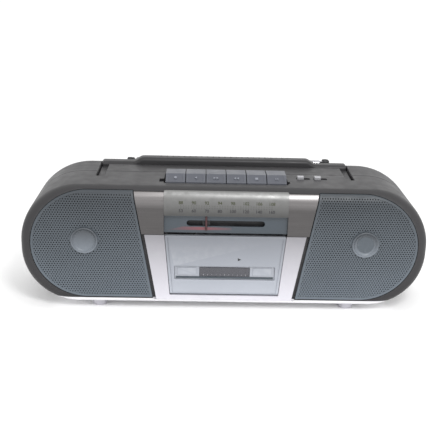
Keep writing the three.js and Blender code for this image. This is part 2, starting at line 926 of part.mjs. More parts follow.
const reelGearFront = chassisBackY + 0.8;
const reelGearBack = reelGearFront + 2.5;
const flywheelFront = reelGearBack + 1.2;
const flywheelBack = flywheelFront + flywheelWidth;
const beltY = (flywheelFront + flywheelBack) / 2;
const motorPlateY = flywheelBack + 1.5;

// A reel spindle: a splined hub that stands into the cassette, and its gear behind the chassis.
function reelSpindle() {
  let made = rod("y", spindleRadius, pocketBackY - spindleReach, reelGearBack, 0, 0, 16);
  made = made.add(rod("y", reelGearRadius, reelGearFront, reelGearBack, 0, 0, 28));
  made = made.add(rod("y", 2, pocketBackY - spindleReach - 1.5, chassisY, 0, 0, 12));
  for (let i = 0; i < 3; i++) {
    const angle = (i / 3) * 2 * Math.PI;
    const fin = new THREE.BoxGeometry(1.4, spindleReach - 1, 1.6);
    fin.translate(0, pocketBackY - spindleReach / 2, spindleRadius + 0.3);
    fin.rotateY(angle);
    made = made.add(solid(fin));
  }
  return made;
}

for (const [side, word] of [
  [-1, "supply"],
  [1, "takeup"],
]) {
  const mesh = add(`${word}_spindle`, reelSpindle(), black);
  mesh.position.set((side * hubSpacing) / 2, 0, hubZ);
}

function flywheel() {
  const groove = beltThickness;
  return turnedY([
    [0, flywheelFront],
    [flywheelRadius, flywheelFront],
    [flywheelRadius, beltY - 2],
    [flywheelRadius - groove, beltY - 1.6],
    [flywheelRadius - groove, beltY + 1.6],
    [flywheelRadius, beltY + 2],
    [flywheelRadius, flywheelBack],
    [0, flywheelBack],
  ]).add(rod("y", capstanRadius, pocketFrontY + 2, flywheelFront + 1, 0, 0, 10));
}

function motorPulley() {
  return turnedY(
    [
      [0, flywheelFront],
      [pulleyRadius, flywheelFront],
      [pulleyRadius, beltY - 2],
      [pulleyRadius - beltThickness, beltY - 1.6],
      [pulleyRadius - beltThickness, beltY + 1.6],
      [pulleyRadius, beltY + 2],
      [pulleyRadius, flywheelBack],
      [0, flywheelBack],
    ],
    16,
  ).add(rod("y", 1, flywheelBack - 1, motorPlateY + 4, 0, 0, 8));
}

// The belt's inner face follows the two grooves, with straight runs between them.
function driveBelt() {
  const big = flywheelRadius - beltThickness + 0.3;
  const small = pulleyRadius - beltThickness + 0.3;
  const span = motorX - capstanX;
  const lean = Math.asin((big - small) / span);
  const loop = (grow) => {
    const path = new THREE.Path();
    const turn = Math.PI / 2 - lean;
    path.absarc(capstanX, capstanZ, big + grow, turn, 2 * Math.PI - turn);
    path.absarc(motorX, capstanZ, small + grow, -turn, turn);
    return path.getPoints(14);
  };
  const shape = new THREE.Shape(loop(beltThickness - 0.3));
  shape.holes.push(new THREE.Path(loop(0)));
  return extrudeXZ(shape, beltY - 1.2, beltY + 1.2);
}

function motorPlate() {
  const shape = roundedRectangle(
    motorX - 22,
    motorX + 22,
    capstanZ - 18,
    capstanZ + 16,
    4,
  );
  return extrudeXZ(shape, motorPlateY, motorPlateY + chassisThickness, 3).subtract(
    rod("y", 2.4, -far, 0, motorX, capstanZ, 12),
  );
}

function motor() {
  const front = motorPlateY + chassisThickness + seam;
  return turnedY([
    [1.5, front],
    [motorRadius, front],
    [motorRadius, front + motorLength],
    [4, front + motorLength],
    [4, front + motorLength + 2],
    [1.5, front + motorLength + 2],
    [1.5, front],
  ]);
}

add("deck_chassis", deckChassis(), steel);
add("flywheel", flywheel(), steel).position.set(capstanX, 0, capstanZ);
add("motor_pulley", motorPulley(), copper).position.set(motorX, 0, capstanZ);
add("drive_belt", driveBelt(), rubber);
add("motor_plate", motorPlate(), steel);
add("motor", motor(), chrome).position.set(motorX, 0, capstanZ);

// The head plate slides down in front of the chassis when play is pressed, and carries the head and the roller's axle.
const headLowZ = doorTopZ + 1;
const rollerX = capstanX;
const rollerRadius = 5;
const rollerZ = capstanZ + capstanRadius + rollerRadius + headTravel + 0.6;

function headPlate() {
  const y0 = chassisY - 1.4;
  const y1 = chassisY - 0.5;
  const plate = box(-46, 30, y0, y1, headLowZ + 2, headLowZ + 14);
  const head = box(-7, 7, pocketFrontY + 2.5, y1, headLowZ, headLowZ + 6.5);
  const arm = box(rollerX - 3, rollerX + 3, y0, y1, rollerZ - 3, headLowZ + 14);
  const axle = rod("y", 1, pocketFrontY + 2.5, y1, rollerX, rollerZ, 10);
  return plate.add(head).add(arm).add(axle);
}

function pinchRoller() {
  const y0 = pocketFrontY + 3;
  const y1 = chassisY - 2;
  return turnedY(
    [
      [1.3, y0],
      [rollerRadius, y0],
      [rollerRadius, y1],
      [1.3, y1],
      [1.3, y0],
    ],
    20,
  );
}

add("head_plate", headPlate(), steel);
add("pinch_roller", pinchRoller(), rubber).position.set(rollerX, 0, rollerZ);

// ---- keys

const keyWidth = keyPitch - keyGap;

// A key in side view: a top with a sloping front, a front lip and a leg down to the axle.
function keySolid() {
  const lipDrop = 1.5;
  const skin = 3;
  const slopeEndY = keyFrontY + keySlopeDepth;
  const legRadius = 3.5;
  const slab = new THREE.Shape();
  slab.moveTo(keyFrontY, topZ - lipDrop);
  slab.lineTo(keyFrontY + 2.4, topZ - lipDrop);
  slab.lineTo(slopeEndY + 1, topZ + keyStand - skin);
  slab.lineTo(keyAxleY - legRadius, topZ + keyStand - 1 - skin);
  slab.lineTo(keyAxleY - legRadius, keyAxleZ);
  slab.absarc(keyAxleY, keyAxleZ, legRadius, Math.PI, 2 * Math.PI);
  slab.lineTo(keyBackY, topZ);
  slab.lineTo(keyBackY, topZ + keyStand - 1);
  slab.lineTo(slopeEndY, topZ + keyStand);
  slab.lineTo(keyFrontY, topZ + 0.8);
  const half = keyWidth / 2;
  return extrudeYZ(slab, -half, half, 6).subtract(
    rod("x", keyAxleRadius + 0.35, -far, far, keyAxleY, keyAxleZ, 12),
  );
}

const keyGeometry = geometryOf(keySolid());
keyNames.forEach((name, i) => {
  const mesh = add(`key_${name}`, keyGeometry, keyGrey);
  mesh.position.set((i - (keyNames.length - 1) / 2) * keyPitch, 0, 0);
});
add(
  "key_axle",
  rod("x", keyAxleRadius, -keyRowHalf - 6, keyRowHalf + 6, keyAxleY, keyAxleZ, 12),
  steel,
);

// ---- handle

function handle() {
  const barTop = topZ + gripStand - gripDip;
  const barLow = barTop - gripHeight;
  const gripTop = topZ + gripStand;
  const y0 = gripY - gripDepth / 2;
  const y1 = gripY + gripDepth / 2;
  const outer = handleX + armWidth / 2;
  const bar = shapeOf([
    [-outer, barLow],
    [outer, barLow],
    [outer, barTop],
    [gripHalfLength + 8, barTop],
    [gripHalfLength, gripTop],
    [-gripHalfLength, gripTop],
    [-gripHalfLength - 8, barTop],
    [-outer, barTop],
  ]);
  const section = roundedRectangle(y0, y1, barLow, gripTop, 4);
  let made = extrudeXZ(bar, y0, y1).intersect(extrudeYZ(section, -far, far, 5));
  for (const side of [-1, 1]) {
    const arm = new THREE.Shape();
    arm.absarc(handlePivotY, pivotZ, armHalfHeight, Math.PI / 2, 1.5 * Math.PI);
    arm.lineTo(y1 - 4, pivotZ - armHalfHeight);
    arm.lineTo(y1 - 4, barTop - 1);
    arm.lineTo(y0, pivotZ + armHalfHeight);
    const inner = side * (handleX - armWidth / 2);
    made = made.add(
      extrudeYZ(arm, Math.min(inner, side * outer), Math.max(inner, side * outer), 8),
    );
  }
  return made.subtract(rod("x", pivotPinRadius + 0.3, -far, far, handlePivotY, pivotZ, 16));
}

add("handle", handle(), graphite);
for (const [side, word] of [
  [-1, "left"],
  [1, "right"],
]) {
  const half = armWidth / 2 + 3.5;
  const pin = rod("x", pivotPinRadius, -half, half, 0, 0, 14);
  const mesh = add(`${word}_handle_pin`, pin, steel);
  mesh.position.set(side * handleX, handlePivotY, pivotZ);
}

// ---- aerial

const aerial = new THREE.Group();
aerial.position.set(aerialPivotX, aerialY, aerialZ);
model.add(aerial);
const aerialLength = aerialPivotX - aerialTipX;
const tubeStart = -6; // the outer tube starts this far from the tilt axis
const tubeEnd = -aerialLength + aerialTipLength + 1;

// The swivel: a post in the cabinet with a fork that the first tube tilts in.
function aerialPost() {
  const forkHalf = aerialPostRadius - 0.4;
  const head = rod("z", aerialPostRadius, -11.5, 4, 0, 0, 20);
  const shaft = rod("z", 2.2, -17, -11, 0, 0, 12);
  const gapHalf = 1.8;
  const slot = box(-far, far, -gapHalf - 0.3, gapHalf + 0.3, -4.2, far);
  const sideRoom = box(-far, -forkHalf + 1.2, -far, far, -4.2, far);
  return head.add(shaft).subtract(slot).subtract(sideRoom).subtract(aerialAxleHole());
}

function aerialAxleHole() {
  return rod("y", 1.3, -far, far, 0, 0, 10);
}

function aerialTube() {
  const bore = aerialTubeRadius - aerialTubeWall;
  const eye = rod("y", 3.4, -1.8, 1.8, 0, 0, 16).add(box(tubeStart - 2, 0, -1.8, 1.8, -1.9, 1.9));
  const tube = rod("x", aerialTubeRadius, tubeEnd, tubeStart, 0, 0, 16);
  const hollow = rod("x", bore, tubeEnd - 1, tubeStart - 4, 0, 0, 16);
  return tube.subtract(hollow).add(eye).subtract(aerialAxleHole());
}

function aerialMiddle() {
  const bore = aerialInnerRadius + 0.4;
  const inside = tubeStart - 6;
  return rod("x", aerialMiddleRadius, tubeEnd - 1, inside, 0, 0, 14).subtract(
    rod("x", bore, tubeEnd - 2, inside - 4, 0, 0, 14),
  );
}

// The innermost section and the button at its end.
function aerialTip() {
  const geometry = new THREE.CapsuleGeometry(aerialTubeRadius - 0.2, aerialTipLength - 7, 4, 12);
  geometry.rotateZ(Math.PI / 2);
  geometry.translate(-aerialLength + aerialTipLength / 2 - 1.6, 0, 0);
  return solid(geometry).add(
    rod("x", aerialInnerRadius, -aerialLength + aerialTipLength / 2, tubeStart - 14, 0, 0, 10),
  );
}

add("aerial_post", aerialPost(), black, aerial);
add("aerial_tube", aerialTube(), chrome, aerial);
add("aerial_axle", rod("y", 1, -aerialPostRadius + 0.8, aerialPostRadius - 0.8, 0, 0, 10), steel, aerial);
add("aerial_middle", aerialMiddle(), chrome, aerial);
add("aerial_tip", aerialTip(), black, aerial);

// ---- thumbwheels and what they turn

function thumbwheel() {
  const ribs = 36;
  const shape = new THREE.Shape();
  for (let i = 0; i < ribs; i++) {
    const radius = i % 2 ? wheelRadius : wheelRadius - 0.8;
    const angle = (i / ribs) * 2 * Math.PI;
    const point = [radius * Math.cos(angle), radius * Math.sin(angle)];
    if (i === 0) {
      shape.moveTo(...point);
    } else {
      shape.lineTo(...point);
    }
  }
  const geometry = new THREE.ExtrudeGeometry(shape, {
    depth: wheelThickness,
    bevelEnabled: false,
  });
  geometry.translate(0, 0, -wheelThickness / 2);
  return solid(geometry).subtract(rod("z", 3.4, -far, wheelThickness / 2 - 2, 0, 0, 12));
}

function controlBody(width) {
  const top = -wheelThickness / 2 - seam;
  return box(-width / 2, width / 2, -width / 2, width / 2, top - potHeight, top).add(
    rod("z", 3, top - 1, wheelThickness / 2 - 3, 0, 0, 12),
  );
}

for (const [side, wheelName, bodyName, width, finish] of [
  [-1, "volume_wheel", "volume_control", 16, steel],
  [1, "tuning_wheel", "tuning_capacitor", 20, silver],
]) {
  const group = new THREE.Group();
  group.position.set(side * wheelX, wheelY, wheelZ);
  model.add(group);
  add(wheelName, thumbwheel(), black, group);
  add(bodyName, controlBody(width), finish, group);
}

// ---- slide switches on the top

function slideKnob() {
  const [x, y, stand] = switchKnob;
  const neckBottom = -shellWall - 2;
  return box(-x / 2, x / 2, -y / 2, y / 2, -1.2, stand - 1)
    .add(box(-x / 2 + 1, x / 2 - 1, -y / 2 + 1, y / 2 - 1, stand - 1.01, stand))
    .add(box(-2, 2, -1, 1, neckBottom, 0));
}

for (const [name, [x, y], finish] of [
  ["function_switch", functionSwitch, silver],
  ["band_switch", bandSwitch, silver],
]) {
  add(name, slideKnob(), finish).position.set(x, y, topZ);
}

// ---- speakers

function speakerFrame() {
  return turnedY(
    [
      [speakerRadius - 5, 0],
      [speakerRadius, 0],
      [speakerRadius, 3],
      [speakerRadius - 3, 3.5],
      [magnetRadius + 1, speakerDepth],
      [magnetRadius - 8, speakerDepth],
      [magnetRadius - 8, speakerDepth - 2],
      [magnetRadius - 1, speakerDepth - 2],
      [speakerRadius - 5, 2],
      [speakerRadius - 5, 0],
    ],
    32,
  ).add(rod("y", magnetRadius, speakerDepth - 0.5, speakerDepth + magnetDepth, 0, 0, 28));
}

function speakerCone() {
  return turnedY(
    [
      [0, speakerDepth - 8],
      [9, speakerDepth - 6],
      [speakerRadius - 12, 2.6],
      [speakerRadius - 9, 0.3],
      [speakerRadius - 5.6, 0.3],
      [speakerRadius - 5.6, 1.5],
      [speakerRadius - 8.5, 2],
      [speakerRadius - 11.5, 4.2],
      [9, speakerDepth - 4.4],
      [0, speakerDepth - 6.4],
    ],
    28,
  );
}

for (const [side, word] of [
  [-1, "left"],
  [1, "right"],
]) {
  const speaker = new THREE.Group();
  speaker.position.set(side * badgeX, frontY + shellWall + 6 + seam, speakerZ);
  model.add(speaker);
  add(`${word}_speaker_frame`, speakerFrame(), steel, speaker);
  add(`${word}_speaker_cone`, speakerCone(), black, speaker);
}

// ---- electrics

function mainBoard() {
  const y0 = cabinetSplitY + 8;
  return box(-84, 84, y0, y0 + 1.6, bayTopZ + bayWall + seam, pivotZ - armHalfHeight - 6);
}

function transformer() {
  const z0 = bayTopZ + bayWall + seam;
  const core = box(-128, -88, 20, 50, z0, z0 + 32);
  return core.add(box(-120, -96, 14, innerBackY - 2, z0 + 6, z0 + 26));
}

add("main_board", mainBoard(), boardGreen);
add("power_transformer", transformer(), copper);

function mainsInlet() {
  const y1 = backY - 1;
  const housing = inletBlock(0, y1);
  const well = box(
    inletX - 8,
    inletX + 8,
    backY - inletDepth + 3,
    far,
    inletZ - 4.5,
    inletZ + 4.5,
  );
  const pins = [-1, 1].map((side) =>
    rod("y", 1.2, backY - inletDepth + 2, backY - 5, inletX + side * 4.2, inletZ, 8),
  );
  return housing.subtract(well).add(pins[0]).add(pins[1]);
}
add("mains_inlet", mainsInlet(), black);
add("battery_door", batteryDoorBlock(0), graphite);

// ---- screws

function screw() {
  const cross = box(-0.5, 0.5, 2, 4, -2.5, 2.5).add(box(-2.5, 2.5, 2, 4, -0.5, 0.5));
  return rod("y", screwHeadRadius, 0.3, 3, 0, 0, 16)
    .add(rod("y", 1.5, cabinetSplitY - screwSinkY - 12, 1, 0, 0, 8))
    .subtract(cross);
}
const screwGeometry = geometryOf(screw());
screwPlaces.forEach(([x, z], i) => {
  add(`cabinet_screw_${i + 1}`, screwGeometry, steel).position.set(x, screwSinkY, z);
});

export default model;
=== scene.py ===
import json
import math

import bmesh
import bpy
import numpy as np
from mathutils import Matrix, Vector


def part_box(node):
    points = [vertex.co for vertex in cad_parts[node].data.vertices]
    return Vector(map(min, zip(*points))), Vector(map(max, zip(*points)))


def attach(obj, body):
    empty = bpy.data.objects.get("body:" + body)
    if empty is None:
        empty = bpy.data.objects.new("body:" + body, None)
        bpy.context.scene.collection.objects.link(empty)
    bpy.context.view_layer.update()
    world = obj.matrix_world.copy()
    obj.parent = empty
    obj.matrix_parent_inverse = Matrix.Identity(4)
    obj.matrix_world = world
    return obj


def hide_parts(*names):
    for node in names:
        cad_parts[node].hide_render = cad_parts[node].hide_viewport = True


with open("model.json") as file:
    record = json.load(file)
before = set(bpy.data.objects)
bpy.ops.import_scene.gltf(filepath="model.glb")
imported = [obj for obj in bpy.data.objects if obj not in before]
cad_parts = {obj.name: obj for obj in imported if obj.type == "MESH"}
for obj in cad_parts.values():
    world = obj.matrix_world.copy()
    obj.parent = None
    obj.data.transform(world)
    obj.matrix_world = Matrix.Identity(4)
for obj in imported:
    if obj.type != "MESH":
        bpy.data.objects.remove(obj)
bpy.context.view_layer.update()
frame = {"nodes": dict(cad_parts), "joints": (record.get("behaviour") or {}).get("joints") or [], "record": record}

# Lengths in this script are millimetres until piece() makes metres of them.
MM = 0.001


def span(node):
    """A CAD node's lowest and highest corner, in millimetres."""
    low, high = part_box(node)
    return np.array(low) / MM, np.array(high) / MM


# ---------------------------------------------------------------- places, from the frame

seam = 0.4
half_length = span("front_cabinet")[1][0]
top_z = span("front_cabinet")[1][2]
front_y = span("front_cabinet")[0][1]
back_y = -front_y
foot_height = 8.0
floor_z = foot_height
middle_z = (top_z + floor_z) / 2
split_y = (span("front_cabinet")[1][1] + span("rear_cabinet")[0][1]) / 2
tray_top_z = span("base_tray")[1][2] + seam / 2
wall = 4.5
end_roundness = 0.94
FRONT_RADIUS = {"top": 15.0, "bottom": 8.0, "end": 9.0}
BACK_RADIUS = {"top": 25.0, "bottom": 16.0, "end": 34.0}

panel_proud = 0.6
panel_thickness = 2.4
panel_low, panel_high = span("upper_panel")
surround_low, surround_high = span("cassette_surround")
panel_bottom_z = surround_low[2]
panel_top_z = panel_high[2]
panel_join_z = panel_low[2]
surround_groove = 3.0
panel_half_bottom = 73.8
panel_half_top = panel_high[0]
scale_low, scale_high = span("dial_scale")
band_low, band_high = span("tuning_band")
door_low, door_high = span("cassette_door")
door_half_top = door_high[0]
door_half_bottom = 56.4
grille_low, grille_high = span("right_grille")
grille_thickness = 1.6
badge_x = float(np.mean([span("right_grille_badge")[0][0], span("right_grille_badge")[1][0]]))
badge_z = float(np.mean([span("right_grille_badge")[0][2], span("right_grille_badge")[1][2]]))
badge_radius = (span("right_grille_badge")[1][0] - span("right_grille_badge")[0][0]) / 2
speaker_radius = 46.0
JOINTS = {joint["name"]: joint for joint in frame["joints"]}


def pivot(name):
    """A joint's own point, in millimetres."""
    return np.array(JOINTS[name]["pos_m"]) / MM


# ---------------------------------------------------------------- meshes


def solid(verts, faces, weld=True):
    """A closed mesh object with its faces pointing out, to be cut, joined or made a piece."""
    mesh = bpy.data.meshes.new("made")
    mesh.from_pydata([tuple(map(float, v)) for v in verts], [], faces)
    bm = bmesh.new()
    bm.from_mesh(mesh)
    if weld:
        bmesh.ops.remove_doubles(bm, verts=bm.verts, dist=1e-4)
    bmesh.ops.recalc_face_normals(bm, faces=bm.faces)
    bm.to_mesh(mesh)
    bm.free()
    obj = bpy.data.objects.new("made", mesh)
    bpy.context.scene.collection.objects.link(obj)
    return obj


def at(axis, t, outline):
    """The outline as 3D points at t along an axis; its own two coordinates keep the order x, y, z."""
    if axis == "x":
        return [(t, a, b) for a, b in outline]
    if axis == "y":
        return [(a, t, b) for a, b in outline]
    return [(a, b, t) for a, b in outline]


def loft(rings, looped=False):
    count = len(rings[0])
    verts = [point for ring in rings for point in ring]
    faces = []
    for i in range(len(rings) if looped else len(rings) - 1):
        here, there = i * count, (i + 1) % len(rings) * count
        for j in range(count):
            k = (j + 1) % count
            faces.append((here + j, here + k, there + k, there + j))
    if not looped:
        faces.append(tuple(range(count)))
        faces.append(tuple(range((len(rings) - 1) * count, len(rings) * count)))
    return solid(verts, faces)


def grown(outline, distance):
    """The outline with every side moved out by distance."""
    points = np.array(outline, float)
    ahead = np.roll(points, -1, 0) - points
    ahead /= np.linalg.norm(ahead, axis=1, keepdims=True)
    behind = np.roll(ahead, 1, 0)
    area = np.sum(points[:, 0] * np.roll(points[:, 1], -1) - points[:, 1] * np.roll(points[:, 0], -1))
    turn = distance * math.copysign(1, area)
    one = np.stack([ahead[:, 1], -ahead[:, 0]], 1)
    other = np.stack([behind[:, 1], -behind[:, 0]], 1)
    lean = 1 + np.sum(one * other, 1, keepdims=True)
    return points + turn * (one + other) / np.maximum(lean, 0.4)


def prism(outline, axis, low, high, low_edge=0.0, high_edge=0.0, steps=4):
    """An outline extruded along an axis, its two rims rounded."""
    rings = []
    for end, inward, edge in ((low, 1, low_edge), (high, -1, high_edge)):
        turns = np.linspace(0, math.pi / 2, steps + 1) if edge else [math.pi / 2]
        made = [
            at(axis, end + inward * edge * (1 - math.sin(turn)), grown(outline, -edge * (1 - math.cos(turn))))
            for turn in turns[::-1]
        ]
        rings += made if inward > 0 else made[::-1]
    return loft(rings)


def flared(outline, axis, surface, depth, chamfer=0.5, out=1):
    """A cutting tool: the outline down to depth under a surface, its rim opened by a chamfer."""
    return loft(
        [
            at(axis, surface - out * depth, outline),
            at(axis, surface - out * chamfer, outline),
            at(axis, surface, grown(outline, chamfer)),
            at(axis, surface + out * 30, grown(outline, chamfer)),
        ]
    )


def rectangle(a0, a1, b0, b1):
    return [(a0, b0), (a1, b0), (a1, b1), (a0, b1)]


def arc(a, b, radius, start, stop, steps):
    """Points round (a, b), from start to stop in quarter turns."""
    return [
        (a + radius * math.cos(angle * math.pi / 2), b + radius * math.sin(angle * math.pi / 2))
        for angle in np.linspace(start, stop, steps + 1)
    ]


def rounded(a0, a1, b0, b1, radius, steps=5):
    return (
        arc(a0 + radius, b0 + radius, radius, 2, 3, steps)
        + arc(a1 - radius, b0 + radius, radius, 3, 4, steps)
        + arc(a1 - radius, b1 - radius, radius, 0, 1, steps)
        + arc(a0 + radius, b1 - radius, radius, 1, 2, steps)
    )


def softened(outline, radius, steps=4):
    """A polygon with every corner rounded; radius is one size, or one for each corner."""
    radii = radius if isinstance(radius, (list, tuple)) else [radius] * len(outline)
    points = []
    count = len(outline)
    for i, corner in enumerate(outline):
        corner = np.array(corner, float)
        before = np.array(outline[i - 1], float) - corner
        after = np.array(outline[(i + 1) % count], float) - corner
        before /= np.linalg.norm(before)
        after /= np.linalg.norm(after)
        half = math.acos(np.clip(before @ after, -1, 1)) / 2
        if radii[i] <= 0 or half > 1.5:
            points.append(tuple(corner))
            continue
        reach = radii[i] / math.tan(half)
        middle = before + after
        centre = corner + middle / np.linalg.norm(middle) * radii[i] / math.sin(half)
        start = corner + before * reach - centre
        stop = corner + after * reach - centre
        swing = math.atan2(start[0] * stop[1] - start[1] * stop[0], start @ stop)
        for share in np.linspace(0, 1, steps + 1):
            c, s = math.cos(swing * share), math.sin(swing * share)
            points.append((centre[0] + start[0] * c - start[1] * s, centre[1] + start[0] * s + start[1] * c))
    return points


def lathe(profile, axis, centre=(0, 0), steps=48, closed=False):
    """[radius, t] points turned about a line along an axis; an open profile starts and ends on the line."""
    count = len(profile)
    verts = []
    faces = []
    for i in range(steps):
        angle = i / steps * 2 * math.pi
        for radius, t in profile:
            u = centre[0] + radius * math.cos(angle)
            v = centre[1] + radius * math.sin(angle)
            verts += at(axis, t, [(u, v)])
    for i in range(steps):
        here, there = i * count, (i + 1) % steps * count
        for j in range(count if closed else count - 1):
            k = (j + 1) % count
            faces.append((here + j, here + k, there + k, there + j))
    return solid(verts, faces)


def rod(axis, radius, low, high, centre=(0, 0), edge=0.0, steps=32):
    if not edge:
        return lathe([(0, low), (radius, low), (radius, high), (0, high)], axis, centre, steps)
    low_rim = [(radius - edge + a, low + edge + b) for a, b in arc(0, 0, edge, -1, 0, 3)]
    high_rim = [(radius - edge + a, high - edge + b) for a, b in arc(0, 0, edge, 0, 1, 3)]
    return lathe([(0, low)] + low_rim + high_rim + [(0, high)], axis, centre, steps)


def rounded_box(x, y, z, edge=0.5):
    """x, y and z are (low, high)."""
    return prism(rounded(*x, *y, edge * 1.2, 4), "z", *z, edge, edge)


def combine(obj, tools, operation):
    for tool in tools:
        step = obj.modifiers.new("step", "BOOLEAN")
        step.operation = operation
        step.solver = "EXACT"
        step.object = tool
    graph = bpy.context.evaluated_depsgraph_get()
    made = bpy.data.meshes.new_from_object(obj.evaluated_get(graph))
    obj.modifiers.clear()
    obj.data = made
    for tool in tools:
        bpy.data.objects.remove(tool)
    return obj


def cut(obj, *tools):
    return combine(obj, tools, "DIFFERENCE")


def merge(obj, *tools):
    return combine(obj, tools, "UNION")


def common(obj, *tools):
    return combine(obj, tools, "INTERSECT")


def together(*objs):
    """Several solids as one object, side by side."""
    bm = bmesh.new()
    for obj in objs:
        bm.from_mesh(obj.data)
    mesh = bpy.data.meshes.new("made")
    bm.to_mesh(mesh)
    bm.free()
    for obj in objs:
        bpy.data.objects.remove(obj)
    made = bpy.data.objects.new("made", mesh)
    bpy.context.scene.collection.objects.link(made)
    return made


def piece(obj, name, body, material, nodes=(), bevel=0.0, sharp=32):
    """Makes a finished piece of a solid: metres, shading, material, body and the CAD nodes it stands for."""
    obj.name = name
    obj.data.name = name
    obj.data.transform(Matrix.Scale(MM, 4))
    obj.data.materials.clear()
    obj.data.materials.append(material)
    obj.data.polygons.foreach_set("use_smooth", [True] * len(obj.data.polygons))
    obj.data.set_sharp_from_angle(angle=math.radians(sharp))
    if bevel:
        step = obj.modifiers.new("edges", "BEVEL")
        step.width = bevel * MM
        step.segments = 2
        step.limit_method = "ANGLE"
        step.angle_limit = math.radians(40)
        step.harden_normals = False
        step.use_clamp_overlap = True
    step = obj.modifiers.new("normals", "WEIGHTED_NORMAL")
    step.keep_sharp = True
    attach(obj, body)
    if nodes:
        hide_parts(*([nodes] if isinstance(nodes, str) else nodes))
    return obj


# ---------------------------------------------------------------- the body's surface


def rounded_in(y, inset, side):
    """How far one side has rounded in at depth y, for a body sunk by inset."""
    from_front = y - (front_y + inset)
    from_back = back_y - inset - y
    near_front = from_front < from_back
    depth = np.where(near_front, from_front, from_back)
    full = np.where(near_front, FRONT_RADIUS[side], BACK_RADIUS[side])
    radius = np.maximum(full - inset, 1)
    left = np.maximum(radius - depth, 0)
    return radius - np.sqrt(np.maximum(radius**2 - left**2, 0))


def body_sides(y, inset):
    end = half_length - inset - rounded_in(y, inset, "end")
    low = floor_z + inset + rounded_in(y, inset, "bottom")
    high = top_z - inset - rounded_in(y, inset, "top")
    return end, low, high, (high - low) / 2 * end_roundness


def body_outline(y, inset, steps=22):
    """The body's outline seen from the front, at depth y."""
    end, low, high, radius = (float(value) for value in body_sides(y, inset))
    across = end - radius
    return (
        arc(across, low + radius, radius, 3, 4, steps)
        + arc(across, high - radius, radius, 0, 1, steps)
        + arc(-across, high - radius, radius, 1, 2, steps)
        + arc(-across, low + radius, radius, 2, 3, steps)
    )


def front_depths(inset, steps=12):
    radius = max(FRONT_RADIUS["top"] - inset, 1)
    return [front_y + inset + radius * (1 - math.cos(i / steps * math.pi / 2)) for i in range(steps + 1)]


def back_depths(inset, steps=18):
    radius = max(BACK_RADIUS["end"] - inset, 1)
    return [back_y - inset - radius * (1 - math.cos(i / steps * math.pi / 2)) for i in range(steps + 1)][::-1]


def body(inset):
    rings = [at("y", y, body_outline(y, inset)) for y in front_depths(inset) + back_depths(inset)]
    return loft(rings)


def front_surface(x, z, inset):
    """The depth y of the body's front, sunk by inset, where (x, z) meets it."""
    x = np.abs(np.asarray(x, float))
    z = np.asarray(z, float)
    low_y = np.full(x.shape, front_y + inset)
    high_y = low_y + FRONT_RADIUS["top"]
    for _ in range(26):
        y = (low_y + high_y) / 2
        end, low, high, radius = body_sides(y, inset)
        centre_z = np.clip(z, low + radius, high - radius)
        out_x = np.maximum(x - (end - radius), 0)
        inside = (out_x**2 + (z - centre_z) ** 2 <= radius**2) & (z >= low) & (z <= high)
        high_y = np.where(inside, y, high_y)
        low_y = np.where(inside, low_y, y)
    return high_y


def panel_half(z):
    share = (z - panel_bottom_z) / (panel_top_z - panel_bottom_z)
    return panel_half_bottom + (panel_half_top - panel_half_bottom) * share


def panel_outline(z0, z1, grow, sides=None):
    sides = grow if sides is None else sides
    low, high = panel_half(z0) + sides, panel_half(z1) + sides
    return [(-low, z0 - grow), (low, z0 - grow), (high, z1 + grow), (-high, z1 + grow)]


def door_outline(grow):
    low, high = door_half_bottom + grow, door_half_top + grow
    z0, z1 = door_low[2] - grow, door_high[2] + grow
    return [(-low, z0), (low, z0), (high, z1), (-high, z1)]


def grille_outline(side, grow, steps=40):
    bottom = grille_low[2] - grow
    top = grille_high[2] + grow
    radius = (top - bottom) / 2
    end_centre = half_length - (top_z - floor_z) / 2 * end_roundness - FRONT_RADIUS["end"]
    outline = [
        (side * (panel_half(top) + 2 * seam - grow), top),
        (side * (panel_half(bottom) + 2 * seam - grow), bottom),
    ]
    return outline + [
        (side * (end_centre + a), (top + bottom) / 2 + b) for a, b in arc(0, 0, radius, -1, 1, steps)
    ]


def front_layer(outline, from_inset, to_inset):
    """The layer of the body's front between two depths under its surface, inside an outline."""
    reach = front_y + FRONT_RADIUS["top"] + wall
    layer = prism(outline, "y", front_y - 40, reach)
    return cut(common(layer, body(from_inset)), body(to_inset))


def front_room(outline, inset):
    """A cutting tool that takes away all of the body's front over a depth, inside an outline."""
    reach = front_y + FRONT_RADIUS["top"] + wall
    return cut(prism(outline, "y", front_y - 40, reach), body(inset))


# ---------------------------------------------------------------- materials


